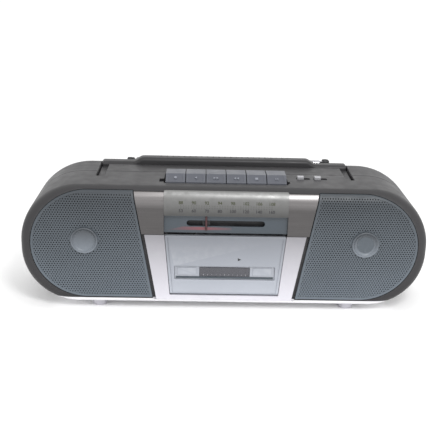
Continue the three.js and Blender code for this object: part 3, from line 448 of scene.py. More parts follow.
class Finish:
    """A procedural material, made of a few node steps; its coordinates are metres on the object."""

    def __init__(self, name, colour, roughness, metallic=0.0):
        self.material = bpy.data.materials.new(name)
        self.material.use_nodes = True
        self.tree = self.material.node_tree
        self.shader = self.tree.nodes["Principled BSDF"]
        self.place = self.tree.nodes.new("ShaderNodeTexCoord").outputs["Object"]
        self.colour = (*colour, 1)
        self.shader.inputs["Base Color"].default_value = self.colour
        self.shader.inputs["Roughness"].default_value = roughness
        self.shader.inputs["Metallic"].default_value = metallic
        self.roughness = roughness
        self.bump = None

    def node(self, kind, settings=None, **inputs):
        node = self.tree.nodes.new("ShaderNode" + kind)
        for key, value in (settings or {}).items():
            setattr(node, key, value)
        for key, value in inputs.items():
            socket = node.inputs[int(key[1:])] if key[0] == "i" and key[1:].isdigit() else node.inputs[key]
            if isinstance(value, bpy.types.NodeSocket):
                self.tree.links.new(value, socket)
            else:
                socket.default_value = value
        return node

    def stretched(self, scale):
        return self.node("Mapping", Vector=self.place, Scale=scale).outputs["Vector"]

    def noise(self, size, detail=3.0, scale=(1, 1, 1), seed=0.0):
        """Noise whose blotches are about size across, in metres."""
        place = self.node("Mapping", Vector=self.place, Scale=scale, Location=(seed, seed, seed))
        return self.node(
            "TexNoise", Vector=place.outputs["Vector"], Scale=1 / size, Detail=detail
        ).outputs["Fac"]

    def ranged(self, value, low, high, to_low, to_high):
        return self.node("MapRange", i0=value, i1=low, i2=high, i3=to_low, i4=to_high).outputs[0]

    def mixed(self, factor, one, other, blend="MIX"):
        node = self.node("Mix", {"data_type": "RGBA", "blend_type": blend}, i0=factor)
        for socket, value in ((node.inputs[6], one), (node.inputs[7], other)):
            if isinstance(value, bpy.types.NodeSocket):
                self.tree.links.new(value, socket)
            else:
                socket.default_value = (*value[:3], 1)
        return node.outputs[2]

    def painted(self, value):
        self.tree.links.new(value, self.shader.inputs["Base Color"])
        self.colour = value
        return self

    def mottled(self, size, amount, seed=0.0):
        """Slow changes of tone over the surface."""
        tone = self.ranged(self.noise(size, 2.0, seed=seed), 0.3, 0.7, 1 - amount, 1 + amount)
        tones = self.node("CombineColor", Red=tone, Green=tone, Blue=tone).outputs[0]
        return self.painted(self.mixed(1.0, self.colour, tones, "MULTIPLY"))

    def painted_light_by_height(self, low_z, high_z, at_low, at_high):
        """Painted light and shade: the tone changes evenly from one height to another."""
        height = self.node("SeparateXYZ", Vector=self.place).outputs["Z"]
        tone = self.ranged(height, low_z * MM, high_z * MM, at_low, at_high)
        tones = self.node("CombineColor", Red=tone, Green=tone, Blue=tone).outputs[0]
        return self.painted(self.mixed(1.0, self.colour, tones, "MULTIPLY"))

    def roughened(self, size, spread, scale=(1, 1, 1)):
        value = self.ranged(
            self.noise(size, 4.0, scale, 3.0), 0.3, 0.7, self.roughness - spread, self.roughness + spread
        )
        self.tree.links.new(value, self.shader.inputs["Roughness"])
        return self

    def relief(self, height, depth, strength=1.0):
        """Adds a height to the surface, depth metres deep."""
        node = self.node("Bump", Height=height, Distance=depth, Strength=strength)
        if self.bump:
            self.tree.links.new(self.bump, node.inputs["Normal"])
        self.bump = node.outputs["Normal"]
        self.tree.links.new(self.bump, self.shader.inputs["Normal"])
        return self

    def grained(self, size, depth, strength=0.5):
        return self.relief(self.noise(size, 2.0), depth, strength)

    def worn(self, amount, colour):
        """Lighter along the edges, where hands and shelves rub."""
        edge = self.ranged(self.node("NewGeometry").outputs["Pointiness"], 0.52, 0.6, 0.0, amount)
        patchy = self.ranged(self.noise(0.006, 3.0, seed=7.0), 0.35, 0.65, 0.2, 1.0)
        factor = self.node("Math", {"operation": "MULTIPLY"}, i0=edge, i1=patchy).outputs[0]
        return self.painted(self.mixed(factor, self.colour, colour))


def plastic(name, colour, roughness=0.45, grain=0.0006, depth=0.00004, tone=0.05, wear=0.15):
    finish = Finish(name, colour, roughness).mottled(0.05, tone).roughened(0.012, 0.06)
    finish.grained(grain, depth)
    if wear:
        finish.worn(wear, [min(1, 0.25 + value * 1.4) for value in colour])
    return finish


def silver_paint(name, colour, roughness=0.36, metallic=0.35):
    finish = Finish(name, colour, roughness, metallic).mottled(0.07, 0.03).roughened(0.01, 0.05)
    flakes = finish.node("TexVoronoi", Vector=finish.place, Scale=5200.0).outputs["Color"]
    spark = finish.mixed(0.05, (0.5, 0.5, 0.5), flakes)
    finish.painted(finish.mixed(0.35, finish.colour, spark, "SOFT_LIGHT"))
    return finish.grained(0.0011, 0.00003, 0.35).worn(0.12, (0.85, 0.85, 0.86))


def brushed_metal(name, colour, roughness=0.34, along="x"):
    finish = Finish(name, colour, roughness, 0.75)
    thin = {"x": (0.012, 1, 1), "z": (1, 1, 0.012)}[along]
    finish.mottled(0.09, 0.05)
    lines = finish.noise(0.00035, 3.0, thin)
    tone = finish.ranged(lines, 0.3, 0.7, 0.9, 1.1)
    tones = finish.node("CombineColor", Red=tone, Green=tone, Blue=tone).outputs[0]
    finish.painted(finish.mixed(1.0, finish.colour, tones, "MULTIPLY"))
    finish.roughened(0.0006, 0.07, thin)
    finish.shader.inputs["Anisotropic"].default_value = 0.4
    return finish.relief(lines, 0.00003, 0.5)


def bright_metal(name, colour, roughness=0.12):
    finish = Finish(name, colour, roughness, 1.0).mottled(0.03, 0.03).roughened(0.004, 0.05)
    return finish.grained(0.0009, 0.00001, 0.3)


def cast_metal(name, colour, roughness=0.38, metallic=0.9):
    finish = Finish(name, colour, roughness, metallic).mottled(0.012, 0.1).roughened(0.003, 0.1)
    return finish.grained(0.0007, 0.00003, 0.4)


GRAPHITE = (0.033, 0.0322, 0.034)
SILVER = (0.50, 0.49, 0.53)
FINISHES = {
    "cabinet_paint": plastic("graphite_paint", GRAPHITE, 0.42, 0.0008, 0.00004, 0.05, 0.2),
    "base_silver": silver_paint("light_silver_paint", SILVER),
    "grille_metal": plastic("grille_paint", (0.055, 0.066, 0.078), 0.46, 0.0005, 0.00002, 0.06, 0.1),
    "badge_chrome": plastic("badge_metal", (0.10, 0.113, 0.13), 0.4, 0.0007, 0.00001, 0.03, 0),
    "brushed_trim": brushed_metal("brushed_trim", (0.105, 0.10, 0.10)),
    "scale_print": silver_paint("scale_paint", (0.17, 0.17, 0.167), 0.34, 0.3),
    "band_plastic": plastic("smoky_band", (0.045, 0.057, 0.07), 0.34, 0.0009, 0.00001, 0.04, 0),
    "pointer_red": plastic("pointer_red", (0.045, 0.010, 0.012), 0.4, 0.0006, 0.00001, 0.04, 0),
    "door_plastic": silver_paint("door_paint", (0.37, 0.39, 0.435), 0.4, 0.15),
    "black_plastic": plastic("black_plastic", (0.014, 0.014, 0.016), 0.5, 0.0007, 0.00005, 0.1, 0.1),
    "steel": cast_metal("zinc_plated_steel", (0.42, 0.42, 0.44)),
    "copper": cast_metal("copper_brass", (0.45, 0.20, 0.07)),
    "belt_rubber": plastic("rubber", (0.02, 0.02, 0.021), 0.75, 0.0004, 0.00004, 0.15, 0),
    "key_plastic": plastic("key_paint", (0.075, 0.08, 0.097), 0.4, 0.0007, 0.00003, 0.04, 0.2),
    "aerial_chrome": bright_metal("chrome", (0.40, 0.40, 0.42), 0.16),
    "knob_silver": silver_paint("knob_paint", (0.36, 0.36, 0.38)),
    "cone_paper": plastic("cone_paper", (0.026, 0.028, 0.031), 0.85, 0.0005, 0.0001, 0.2, 0),
}


def smoked_lens():
    finish = Finish("smoked_lens", (0.075, 0.075, 0.088), 0.12).mottled(0.02, 0.08).roughened(0.01, 0.03)
    finish.shader.inputs["Coat Weight"].default_value = 0.4
    finish.shader.inputs["Alpha"].default_value = 0.82
    return finish


def circuit_board():
    finish = Finish("circuit_board", (0.03, 0.10, 0.04), 0.45).mottled(0.02, 0.15)
    tracks = finish.node("TexBrick", Vector=finish.stretched((1, 1, 1)), Scale=60.0).outputs["Fac"]
    finish.painted(finish.mixed(finish.ranged(tracks, 0, 1, 0.0, 0.5), finish.colour, (0.10, 0.22, 0.09)))
    return finish.relief(tracks, 0.00005, 0.4)


# Painted light: the grille is painted lighter towards the floor and darker towards the top.
FINISHES["grille_metal"].painted_light_by_height(floor_z, top_z, 2.1, 0.58)
# Painted light: the cassette door is painted lighter near the bottom and darker towards the top.
FINISHES["door_plastic"].painted_light_by_height(floor_z + 10, panel_top_z - 40, 1.12, 0.44)
# Painted highlight: the dial scale is painted lighter at its rounded top and darker below.
FINISHES["scale_print"].painted_light_by_height(top_z - 26, top_z - 6, 0.36, 1.0)
# Painted highlight along the brushed trim's rounded top edge.
FINISHES["brushed_trim"].painted_light_by_height(top_z - 21, top_z - 8, 0.85, 2.3)
# Painted shade at the top of each badge and painted light at its bottom.
FINISHES["badge_chrome"].painted_light_by_height(badge_z - 11, badge_z + 9, 1.6, 0.6)
# Painted light: the deck surround is painted lighter near the bottom and darker towards the top.
DECK_SILVER = silver_paint("deck_silver_paint", SILVER, 0.4, 0.15).painted_light_by_height(
    floor_z + 6, panel_top_z - 40, 1.28, 0.42
)
# Painted light: the base tray's silver is much lighter than the same silver elsewhere, to brighten the
# downward-facing skirt that lies in shade.
LIGHTENED_BASE_SILVER = silver_paint("base_paint_painted_light", (0.86, 0.855, 0.88), 0.4, 0.1)
FINISHES["cabinet_paint"].shader.inputs["Specular IOR Level"].default_value = 0.3
FINISHES["lens"] = smoked_lens()
FINISHES["board"] = circuit_board()


def finish_of(slot):
    return FINISHES[slot].material


# ---------------------------------------------------------------- camera, light and floor


def aim(azimuth, elevation, roll, target, distance):
    """The camera's matrix: it looks at the target, and a positive roll turns the picture clockwise."""
    a, e, r = (math.radians(angle) for angle in (azimuth, elevation, roll))
    back = Vector((math.sin(a) * math.cos(e), -math.cos(a) * math.cos(e), math.sin(e)))
    right = Vector((math.cos(a), math.sin(a), 0))
    up = back.cross(right)
    turned_right = right * math.cos(r) + up * math.sin(r)
    turned_up = up * math.cos(r) - right * math.sin(r)
    matrix = Matrix((turned_right, turned_up, back)).transposed().to_4x4()
    matrix.translation = Vector(target) + back * distance
    return matrix


def make_camera():
    data = bpy.data.cameras.new("camera")
    data.sensor_fit = "HORIZONTAL"
    data.sensor_width = 36
    data.lens = 67.5
    data.shift_x = -0.0135
    data.shift_y = 0.0174
    camera = bpy.data.objects.new("camera", data)
    camera.matrix_world = aim(-1.8, 20, 1.6, (0, 0, 0.070), 0.9)
    bpy.context.scene.collection.objects.link(camera)
    bpy.context.scene.camera = camera


def softbox(name, place, target, size, power, tint=(1, 1, 1)):
    data = bpy.data.lights.new(name, "AREA")
    data.shape = "RECTANGLE"
    data.size, data.size_y = size
    data.energy = power
    data.color = tint
    light = bpy.data.objects.new(name, data)
    light.location = place
    light.visible_camera = False
    light.rotation_euler = (Vector(target) - Vector(place)).to_track_quat("-Z", "Y").to_euler()
    bpy.context.scene.collection.objects.link(light)


def make_studio():
    world = bpy.data.worlds.new("studio")
    world.use_nodes = True
    background = world.node_tree.nodes["Background"]
    background.inputs["Color"].default_value = (1, 1, 1, 1)
    background.inputs["Strength"].default_value = 1.1
    bpy.context.scene.world = world
    bpy.context.scene.view_settings.view_transform = "Standard"
    softbox("high_front", (0.21, -0.78, 0.84), (0.08, -0.055, 0.127), (0.22, 0.3), 5)
    softbox("front_right", (0.9, -1.1, 0.9), (0.05, 0, 0.08), (0.7, 0.7), 1.5)
    half = 6.0
    steps = 24
    verts = []
    faces = []
    for i in range(steps + 1):
        for j in range(steps + 1):
            verts.append((half * (2 * i / steps - 1) / MM, half * (2 * j / steps - 1) / MM, 0))
    for i in range(steps):
        for j in range(steps):
            here = i * (steps + 1) + j
            faces.append((here, here + steps + 1, here + steps + 2, here + 1))
    mesh = bpy.data.meshes.new("floor")
    mesh.from_pydata([tuple(value * MM for value in v) for v in verts], [], faces)
    floor = bpy.data.objects.new("floor", mesh)
    bpy.context.scene.collection.objects.link(floor)
    paper = Finish("floor_paper", (0.95, 0.95, 0.95), 0.9).mottled(0.4, 0.01)
    paper.grained(0.001, 0.00005, 0.2)
    mesh.materials.append(paper.material)


make_camera()
make_studio()

# ---------------------------------------------------------------- cabinets


handle_high = span("handle")[1]
arm_width = 8.0
arm_half_height = 7.0
arm_x = handle_high[0] - arm_width / 2
slip = 0.6
pivot_y, pivot_z = pivot("handle_fold")[1:]
grip_depth = 15.0
grip_back = handle_high[1]
grip_front = grip_back - grip_depth
grip_top = handle_high[2]
bar_top = grip_top - 5
bar_low = bar_top - 12


def handle_room(grow):
    """The groove that the handle lies in: a channel for each arm and a trough for the grip."""
    half = arm_width / 2 + slip + grow
    channel_floor = pivot_z - arm_half_height - slip - grow
    front = pivot_y - arm_half_height - 2.4 - grow
    back = grip_back + 2 * slip + grow
    outer = arm_x + half
    above = top_z + 12
    trough = prism(
        rounded(-outer, outer, grip_front - 3 - grow, back, 2.5 + grow), "z", bar_low - slip - grow, above
    )
    channels = [
        prism(
            rounded(side * arm_x - half, side * arm_x + half, front, back, 2.5 + grow), "z",
            channel_floor, above
        )
        for side in (-1, 1)
    ]
    return merge(trough, *channels)


def top_rim(outline, depth=0.5):
    """Opens an edge on the flat top by a chamfer."""
    return loft(
        [
            at("z", top_z - depth, outline),
            at("z", top_z + 0.01, grown(outline, depth)),
            at("z", top_z + 6, grown(outline, depth)),
        ]
    )


def handle_rims():
    half = arm_width / 2 + slip
    front = pivot_y - arm_half_height - 2.4
    back = grip_back + 2 * slip
    outer = arm_x + half
    rims = [top_rim(rounded(-outer, outer, grip_front - 3, back, 2.5))]
    for side in (-1, 1):
        rims.append(top_rim(rounded(side * arm_x - half, side * arm_x + half, front, back, 2.5)))
    return rims


def half_shell(near, far_side):
    """The body's wall from one depth to the other, with the split's rim eased."""
    rings = []
    depths = [y for y in front_depths(0) + back_depths(0) if near <= y <= far_side]
    split_end = near if near > front_y + 1 else far_side
    ease = 0.5
    sign = 1 if split_end == near else -1
    extra = [split_end + sign * ease]
    for y in sorted(depths + extra + list(np.linspace(near, far_side, 6)[1:-1])):
        if abs(y - split_end) > ease - 1e-6:
            rings.append(at("y", y, body_outline(y, 0)))
    end_ring = at("y", split_end, body_outline(split_end, 0.45))
    rings = [end_ring] + rings if sign > 0 else rings + [end_ring]
    return loft(rings)


key_nodes = [node for node in frame["nodes"] if node.startswith("key_") and node != "key_axle"]
key_row = [span(node) for node in key_nodes]
key_left = min(low[0] for low, high in key_row)
key_right = max(high[0] for low, high in key_row)
key_front = key_row[0][0][1]
key_back = pivot("key_play_press")[1] + 3


def front_cabinet():
    made = half_shell(front_y, split_y - seam / 2)
    made = merge(made_hollow(made), common(handle_room(2.0), half_shell(front_y, split_y - seam / 2)))
    tools = [handle_room(0.0), *handle_rims()]
    below = prism(rectangle(-300, 300, -100, 100), "z", -50, tray_top_z + seam / 2)
    tools.append(below)
    for side in (-1, 1):
        tools.append(front_room(grille_outline(side, seam), grille_thickness + seam))
        tools.append(
            rod("y", speaker_radius - 5, front_y - 10, front_y + 12, (side * badge_x, badge_z), steps=64)
        )
    tools.append(front_room(panel_outline(panel_bottom_z, panel_top_z, seam), panel_thickness + seam))
    opening_back = front_y + FRONT_RADIUS["top"]
    tools.append(
        prism(panel_outline(panel_bottom_z + 6, panel_top_z - 9, -6), "y", front_y - 20, opening_back)
    )
    tools.append(prism(door_outline(slip), "y", front_y - 20, opening_back))
    keys = rounded(key_left - 1.4, key_right + 1.4, key_front - 2, key_back + 1.6, 0.8)
    tools += [prism(keys, "z", top_z - 8, top_z + 20), top_rim(keys, 0.4)]
    for node in ("function_switch", "band_switch"):
        tools += switch_slot(node)
    return cut(made, *tools)


def made_hollow(made):
    return cut(made, body(wall))


def switch_slot(node):
    low, high = span(node)
    travel = JOINTS[node + "_slide"]["range_m"][1] / MM
    outline = rounded(low[0] - slip, high[0] + travel + slip, low[1] - slip, high[1] + slip, 1.0)
    middle = (low[1] + high[1]) / 2
    neck = rectangle(low[0] + 1, high[0] + travel - 1, middle - 1.6, middle + 1.6)
    return [
        prism(outline, "z", top_z - 1.6, top_z + 9), top_rim(outline, 0.3),
        prism(neck, "z", top_z - 9, top_z)
    ]


bay_half = 100.0
bay_wall = 2.0
lid_low, lid_high = span("battery_door")
inlet_low, inlet_high = span("mains_inlet")
post_x, post_y = pivot("aerial_swivel")[:2]
aerial_z = pivot("aerial_swivel")[2]
tip_x = span("aerial_tip")[0][0]
wheel_radius = 18.0
SCREW_NODES = sorted(node for node in frame["nodes"] if node.startswith("cabinet_screw"))
screw_head_radius = 4.0


def middle_of(node):
    low, high = span(node)
    return (low + high) / 2


def rear_cabinet():
    near = split_y + seam / 2
    made = made_hollow(half_shell(near, back_y))
    outer = half_shell(near, back_y)
    posts = rod("z", 7.5, top_z - 22, aerial_z - 5.5, (post_x, post_y), steps=40)
    bay = prism(
        rectangle(-bay_half - bay_wall, bay_half + bay_wall, back_y - 36, back_y - 1), "z",
        lid_low[2] - 1.4, lid_high[2] + 1,
    )
    extras = [common(handle_room(2.0), outer), common(merge(posts, bay), half_shell(near, back_y))]
    for node in SCREW_NODES:
        x, _, z = middle_of(node)
        extras.append(rod("y", screw_head_radius + 2, near, back_y - 3, (x, z)))
    for level in (-1, 1):
        rib_z = middle_z + 16 + level * 12
        extras.append(
            prism(rounded(-bay_half, bay_half, rib_z - 2, rib_z + 2, 1.98), "y", back_y - 2, cad_back, 0, 0.9)
        )
    cradle = tip_x + 14
    extras.append(rounded_box((cradle, cradle + 5), (post_y - 5, post_y), (top_z - 18, aerial_z + 0.5), 0.4))
    made = merge(made, *extras)
    tools = [handle_room(0.0), *handle_rims()]
    tools.append(prism(rectangle(-300, 300, -100, 100), "z", -50, tray_top_z + seam / 2))
    lid = rounded(lid_low[0] - slip, lid_high[0] + slip, lid_low[2] - slip, lid_high[2] + slip, 1.6)
    tools.append(flared(lid, "y", back_y, lid_high[1] - lid_low[1] + slip, 0.4))
    tools.append(
        prism(rectangle(-bay_half, bay_half, lid_low[2] + 0.6, lid_high[2] - 1), "y", back_y - 34, back_y)
    )
    for node in SCREW_NODES:
        x, _, z = middle_of(node)
        ring = arc(x, z, screw_head_radius + 0.5, 0, 4, 32)[:-1]
        tools.append(flared(ring, "y", back_y, 10, 0.5))
    inlet = rounded(inlet_low[0] - seam, inlet_high[0] + seam, inlet_low[2] - seam, inlet_high[2] + seam, 0.8)
    tools.append(prism(inlet, "y", inlet_low[1], back_y + 5))
    for node in ("volume_wheel", "tuning_wheel"):
        x, y, z = middle_of(node)
        side = math.copysign(1, x)
        x = pivot({"volume_wheel": "volume_turn", "tuning_wheel": "tuning_turn"}[node])[0]
        half = (span(node)[1][2] - span(node)[0][2]) / 2 + slip
        tools.append(rod("z", wheel_radius + slip, z - half, z + half, (x, y), steps=64))
    tools.append(rod("z", 5.4, aerial_z - 12, top_z + 9, (post_x, post_y), steps=40))
    room = 3.7
    tools.append(rod("x", room, tip_x - 2, post_x, (post_y, aerial_z), steps=32))
    tools.append(
        prism(rectangle(tip_x - 2, post_x, post_y - room, post_y + room), "z", aerial_z, top_z + 9)
    )
    return cut(made, *tools)


def base_tray():
    made = body(0)
    tools = [body(wall)]
    tools.append(prism(rectangle(-300, 300, -100, 100), "z", tray_top_z - seam / 2, 300))
    tools.append(front_room(panel_outline(panel_bottom_z, panel_top_z, seam), panel_thickness + seam))
    tools.append(prism(door_outline(slip), "y", front_y - 20, front_y + FRONT_RADIUS["top"]))
    for side in (-1, 1):
        tools.append(front_room(grille_outline(side, seam), grille_thickness + seam))
    return cut(made, *tools)


def foot():
    return lathe(
        [(0, 0.0), (6.6, 0.0)] + [(6.6 + a, 0.8 + b) for a, b in arc(0, 0, 0.8, -0.7, 0.2, 3)]
        + [(7.9, 2.4), (8.0, 7.0), (8.0, floor_z + 1), (0, floor_z + 1)],
        "z",
    )


cad_back = span("rear_cabinet")[1][1]
paint = finish_of("cabinet_paint")
piece(front_cabinet(), "front_shell", "cabinet", paint, "front_cabinet")
piece(rear_cabinet(), "rear_shell", "cabinet", paint, "rear_cabinet")
piece(base_tray(), "base_shell", "cabinet", LIGHTENED_BASE_SILVER.material, "base_tray")
for x in (-132, 132):
    for y in (-44, 44):
        name = "foot_" + ("left" if x < 0 else "right") + ("_front" if y < 0 else "_back")
        made = foot()
        made.data.transform(Matrix.Translation((x, y, 0)))
        piece(made, name, "cabinet", finish_of("base_silver"))


# ---------------------------------------------------------------- grilles


def dense(outline, gap):
    """The outline with points added so that none are further apart than gap."""
    points = []
    count = len(outline)
    for i in range(count):
        one, other = np.array(outline[i], float), np.array(outline[(i + 1) % count], float)
        parts = max(1, int(np.linalg.norm(other - one) // gap))
        points += [tuple(one + (other - one) * k / parts) for k in range(parts)]
    return points


def inside(outline, x, z):
    """Which of the points (x, z) lie inside the outline."""
    found = np.zeros(x.shape, bool)
    points = np.array(outline)
    for (x0, z0), (x1, z1) in zip(points, np.roll(points, -1, 0)):
        if z0 != z1:
            crossing = (z0 > z) != (z1 > z)
            found ^= crossing & (x < (x1 - x0) * (z - z0) / (z1 - z0) + x0)
    return found


hole_pitch = 2.7
hole_share = 0.52  # a hole's width, as a share of the pitch
rim_width = 2.6
sheet_depth = 0.35  # the perforated sheet lies this far under the rim's face


def perforated_sheet(outline, centre, clear_radius):
    """A sheet of six-sided holes on the body's front, whole under the badge."""
    low, high = np.min(outline, 0), np.max(outline, 0)
    row = hole_pitch * math.sqrt(3) / 2
    rows = np.arange(math.floor(low[1] / row), math.ceil(high[1] / row) + 1)
    columns = np.arange(math.floor(low[0] / hole_pitch) - 1, math.ceil(high[0] / hole_pitch) + 1)
    across, up = np.meshgrid(columns, rows)
    x = ((across + (up % 2) / 2) * hole_pitch).ravel()
    z = (up * row).ravel()
    kept = inside(outline, x, z)
    x, z = x[kept], z[kept]
    angles = math.pi / 6 + np.arange(6) * math.pi / 3
    reach = hole_pitch / math.sqrt(3)
    covered = np.hypot(x - centre[0], z - centre[1]) < clear_radius
    corner_x = x[:, None] + reach * np.cos(angles)
    corner_z = z[:, None] + reach * np.sin(angles)
    hole_x = x[:, None] + hole_share * reach * np.cos(angles)
    hole_z = z[:, None] + hole_share * reach * np.sin(angles)
    all_x = np.concatenate([corner_x, hole_x], 1)
    all_z = np.concatenate([corner_z, hole_z], 1)
    all_y = front_surface(all_x, all_z, sheet_depth)
    verts = np.stack([all_x, all_y, all_z], 2).reshape(-1, 3)
    faces = []
    for i in range(len(x)):
        first = i * 12
        for j in range(6):
            k = (j + 1) % 6
            faces.append((first + j, first + k, first + 6 + k, first + 6 + j))
        if covered[i]:
            faces.append(tuple(range(first + 6, first + 12)))
    mesh = bpy.data.meshes.new("made")
    mesh.from_pydata([tuple(v) for v in verts], [], faces)
    bm = bmesh.new()
    bm.from_mesh(mesh)
    bmesh.ops.remove_doubles(bm, verts=bm.verts, dist=0.02)
    bmesh.ops.recalc_face_normals(bm, faces=bm.faces)
    toward = sum(face.normal.y * face.calc_area() for face in bm.faces)
    if toward > 0:
        bmesh.ops.reverse_faces(bm, faces=bm.faces)
    bm.to_mesh(mesh)
    bm.free()
    made = bpy.data.objects.new("made", mesh)
    bpy.context.scene.collection.objects.link(made)
    step = made.modifiers.new("thick", "SOLIDIFY")
    step.thickness = 0.9
    step.offset = -1
    graph = bpy.context.evaluated_depsgraph_get()
    made.data = bpy.data.meshes.new_from_object(made.evaluated_get(graph))
    made.modifiers.clear()
    return made


def grille_rim(outline):
    """The solid edge of a grille, rolled back at its rim."""
    points = dense(outline, 2.5)
    rings = []
    profile = [(-0.02, 1.5), (-0.02, 0.7)]
    profile += [(-0.7 + a, 0.7 - b) for a, b in arc(0, 0, 0.68, 0, 1, 4)]
    profile += [(-rim_width + 0.5, 0.0), (-rim_width + 0.15, 0.1), (-rim_width, 0.35), (-rim_width, 1.5)]
    for out, inset in profile:
        ring = np.array(grown(points, out))
        y = front_surface(ring[:, 0], ring[:, 1], inset)
        rings.append([(x, y_here, z) for (x, z), y_here in zip(ring, y)])
    return loft(rings, looped=True)


def grille(side):
    outline = grille_outline(side, 0)
    if side < 0:
        outline = outline[::-1]
    area = grown(dense(outline, 2.5), -rim_width + 0.9)
    sheet = perforated_sheet(area, (side * badge_x, badge_z), badge_radius + 1)
    return together(grille_rim(outline), sheet)


def badge(side):
    """A round dish with a raised rim, on the middle of a grille."""
    face = front_y - 0.1
    rim = 3.5
    height = face - span("right_grille_badge")[0][1]
    profile = [(0, face), (badge_radius, face)]
    profile += [(badge_radius - 1 + a, face - height + 1 - b) for a, b in arc(0, 0, 1.0, 0, 1, 6)]
    profile += [(badge_radius - rim + 1.2 - b, face - height + 0.9 - a) for a, b in arc(0, 0, 0.9, 1, 0, 6)]
    floor_y = face - 0.8
    profile += [(badge_radius - rim - 0.2, floor_y - 0.15), (badge_radius - rim - 0.8, floor_y)]
    dish = [
        (
            (badge_radius - rim - 0.8) * share, floor_y + 0.35 * (1 - share**2)
        ) for share in (0.8, 0.6, 0.4, 0.2, 0)
    ]
    return lathe(profile + dish, "y", (side * badge_x, badge_z), 72)


def badge_disc(side):
    """The dark field inside the right badge's ring."""
    face = front_y - 0.1 - 0.8
    return rod("y", badge_radius - 5.2, face - 0.3, face + 0.1, (side * badge_x, badge_z), 0.15, 60)


def speaker_cloth(side):
    """Black cloth behind a grille, which hides the speaker."""
    outline = grille_outline(side, 0)
    if side < 0:
        outline = outline[::-1]
    return front_layer(grown(outline, -1.2), 1.3, 1.55)


for side, word in ((-1, "left"), (1, "right")):
    piece(speaker_cloth(side), word + "_speaker_cloth", "cabinet", finish_of("cone_paper"))
piece(badge_disc(1), "right_badge_field", "cabinet", finish_of("grille_metal"))
for side, word in ((-1, "left"), (1, "right")):
    node = word + "_grille"
    piece(grille(side), word + "_grille_mesh", "cabinet", finish_of("grille_metal"), node)
    piece(
        badge(side), word + "_badge", "cabinet", finish_of("badge_chrome"), node + "_badge"
    )

# ---------------------------------------------------------------- front trim

scale_half = scale_high[0]
scale_bottom_z, scale_top_z = scale_low[2], scale_high[2]
scale_proud = front_y - scale_low[1]
band_front_inset = band_low[1] - front_y


def upper_panel():
    made = front_layer(panel_outline(panel_join_z, panel_top_z, 0), -panel_proud, panel_thickness)
    return cut(made, prism(rectangle(-scale_half, scale_half, 0, scale_bottom_z), "y", -100, 0))


def dial_scale():
    outline = rounded(-scale_half, scale_half, scale_bottom_z, scale_top_z, 1.2)
    return front_layer(outline, -scale_proud, -panel_proud - 0.3)


def on_front(obj, inset):
    """Lays a flat mesh, made around the plane y = 0, on the body's front at a depth under its surface."""
    points = np.array([v.co for v in obj.data.vertices])
    y = front_surface(points[:, 0], points[:, 2], inset) + points[:, 1]
    for vertex, depth in zip(obj.data.vertices, y):
        vertex.co.y = depth
    return obj


def figure(text, x, z, height, depth=0.06):
    """Digits as a thin raised print, their middle at (x, z)."""
    curve = bpy.data.curves.new("figure", "FONT")
    curve.body = text
    curve.size = height * 1.4
    curve.align_x = "CENTER"
    curve.align_y = "CENTER"
    curve.extrude = depth
    curve.offset = 0.08
    curve.resolution_u = 4
    holder = bpy.data.objects.new("figure", curve)
    bpy.context.scene.collection.objects.link(holder)
    graph = bpy.context.evaluated_depsgraph_get()
    mesh = bpy.data.meshes.new_from_object(holder.evaluated_get(graph))
    bpy.data.objects.remove(holder)
    mesh.transform(Matrix.Rotation(math.pi / 2, 4, "X"))
    mesh.transform(Matrix.Translation((x, 0, z)))
    made = bpy.data.objects.new("made", mesh)
    bpy.context.scene.collection.objects.link(made)
    return made


def tick(x, z, width, height, depth=0.06):
    return prism(rectangle(x - width / 2, x + width / 2, z - height / 2, z + height / 2), "y", -depth, depth)


upper_row_z = scale_top_z - 11.0
lower_row_z = scale_top_z - 19.5
figure_height = 3.2


def scale_marks(numbers, z, spread, ticks_below):
    """One row of figures with its tick marks, evenly spread over the scale."""
    parts = []
    count = len(numbers)
    step = 2 * spread / (count - 1)
    for i, number in enumerate(numbers):
        parts.append(figure(number, -spread + i * step, z, figure_height))
    ticks = (count - 1) * 5
    tick_z = z - 3.0 if ticks_below else z + 3.0
    for i in range(ticks + 1):
        tall = 1.8 if i % 5 == 0 else 1.0
        parts.append(tick(-spread + i * 2 * spread / ticks, tick_z, 0.28, tall))
    return on_front(together(*parts), -scale_proud)


def tuning_band():
    outline = rectangle(band_low[0], band_high[0], band_low[2], band_high[2])
    made = front_layer(outline, band_front_inset, band_high[1] - front_y)
    return cut(made, flared(slot_outline, "y", front_y + band_front_inset, 20, 0.3, -1))


pointer_low, pointer_high = span("dial_pointer")
slot_half = 40.0
slot_height = 6.0
slot_z = (panel_join_z + 2.6 + scale_bottom_z) / 2
slot_outline = rounded(-slot_half, slot_half, slot_z - slot_height / 2, slot_z + slot_height / 2, 2.9)


def band_stripe():
    """A painted stripe under the slot that thins out to the right."""
    z = slot_z - 5.6
    return on_front(
        prism(
            [(-60, z - 1.9), (6, z - 1.2), (6, z + 1.4), (-44, z + 1.9)], "y", -0.05, 0.05
        ), band_front_inset
    )


def stripe_paint():
    finish = Finish("stripe_paint", (0.4, 0.08, 0.09), 0.4)
    across = finish.node("SeparateXYZ", Vector=finish.place).outputs["X"]
    fade = finish.ranged(
        finish.node(
            "Math", {"operation": "ABSOLUTE"},
            i0=finish.node("Math", {"operation": "ADD"}, i0=across, i1=0.024).outputs[0]
        ).outputs[0],
        0.0, 0.036, 0.0, 1.0
    )
    finish.painted(finish.mixed(fade, (0.17, 0.055, 0.065), (0.05, 0.06, 0.072)))
    return finish.grained(0.0006, 0.00001, 0.3).material


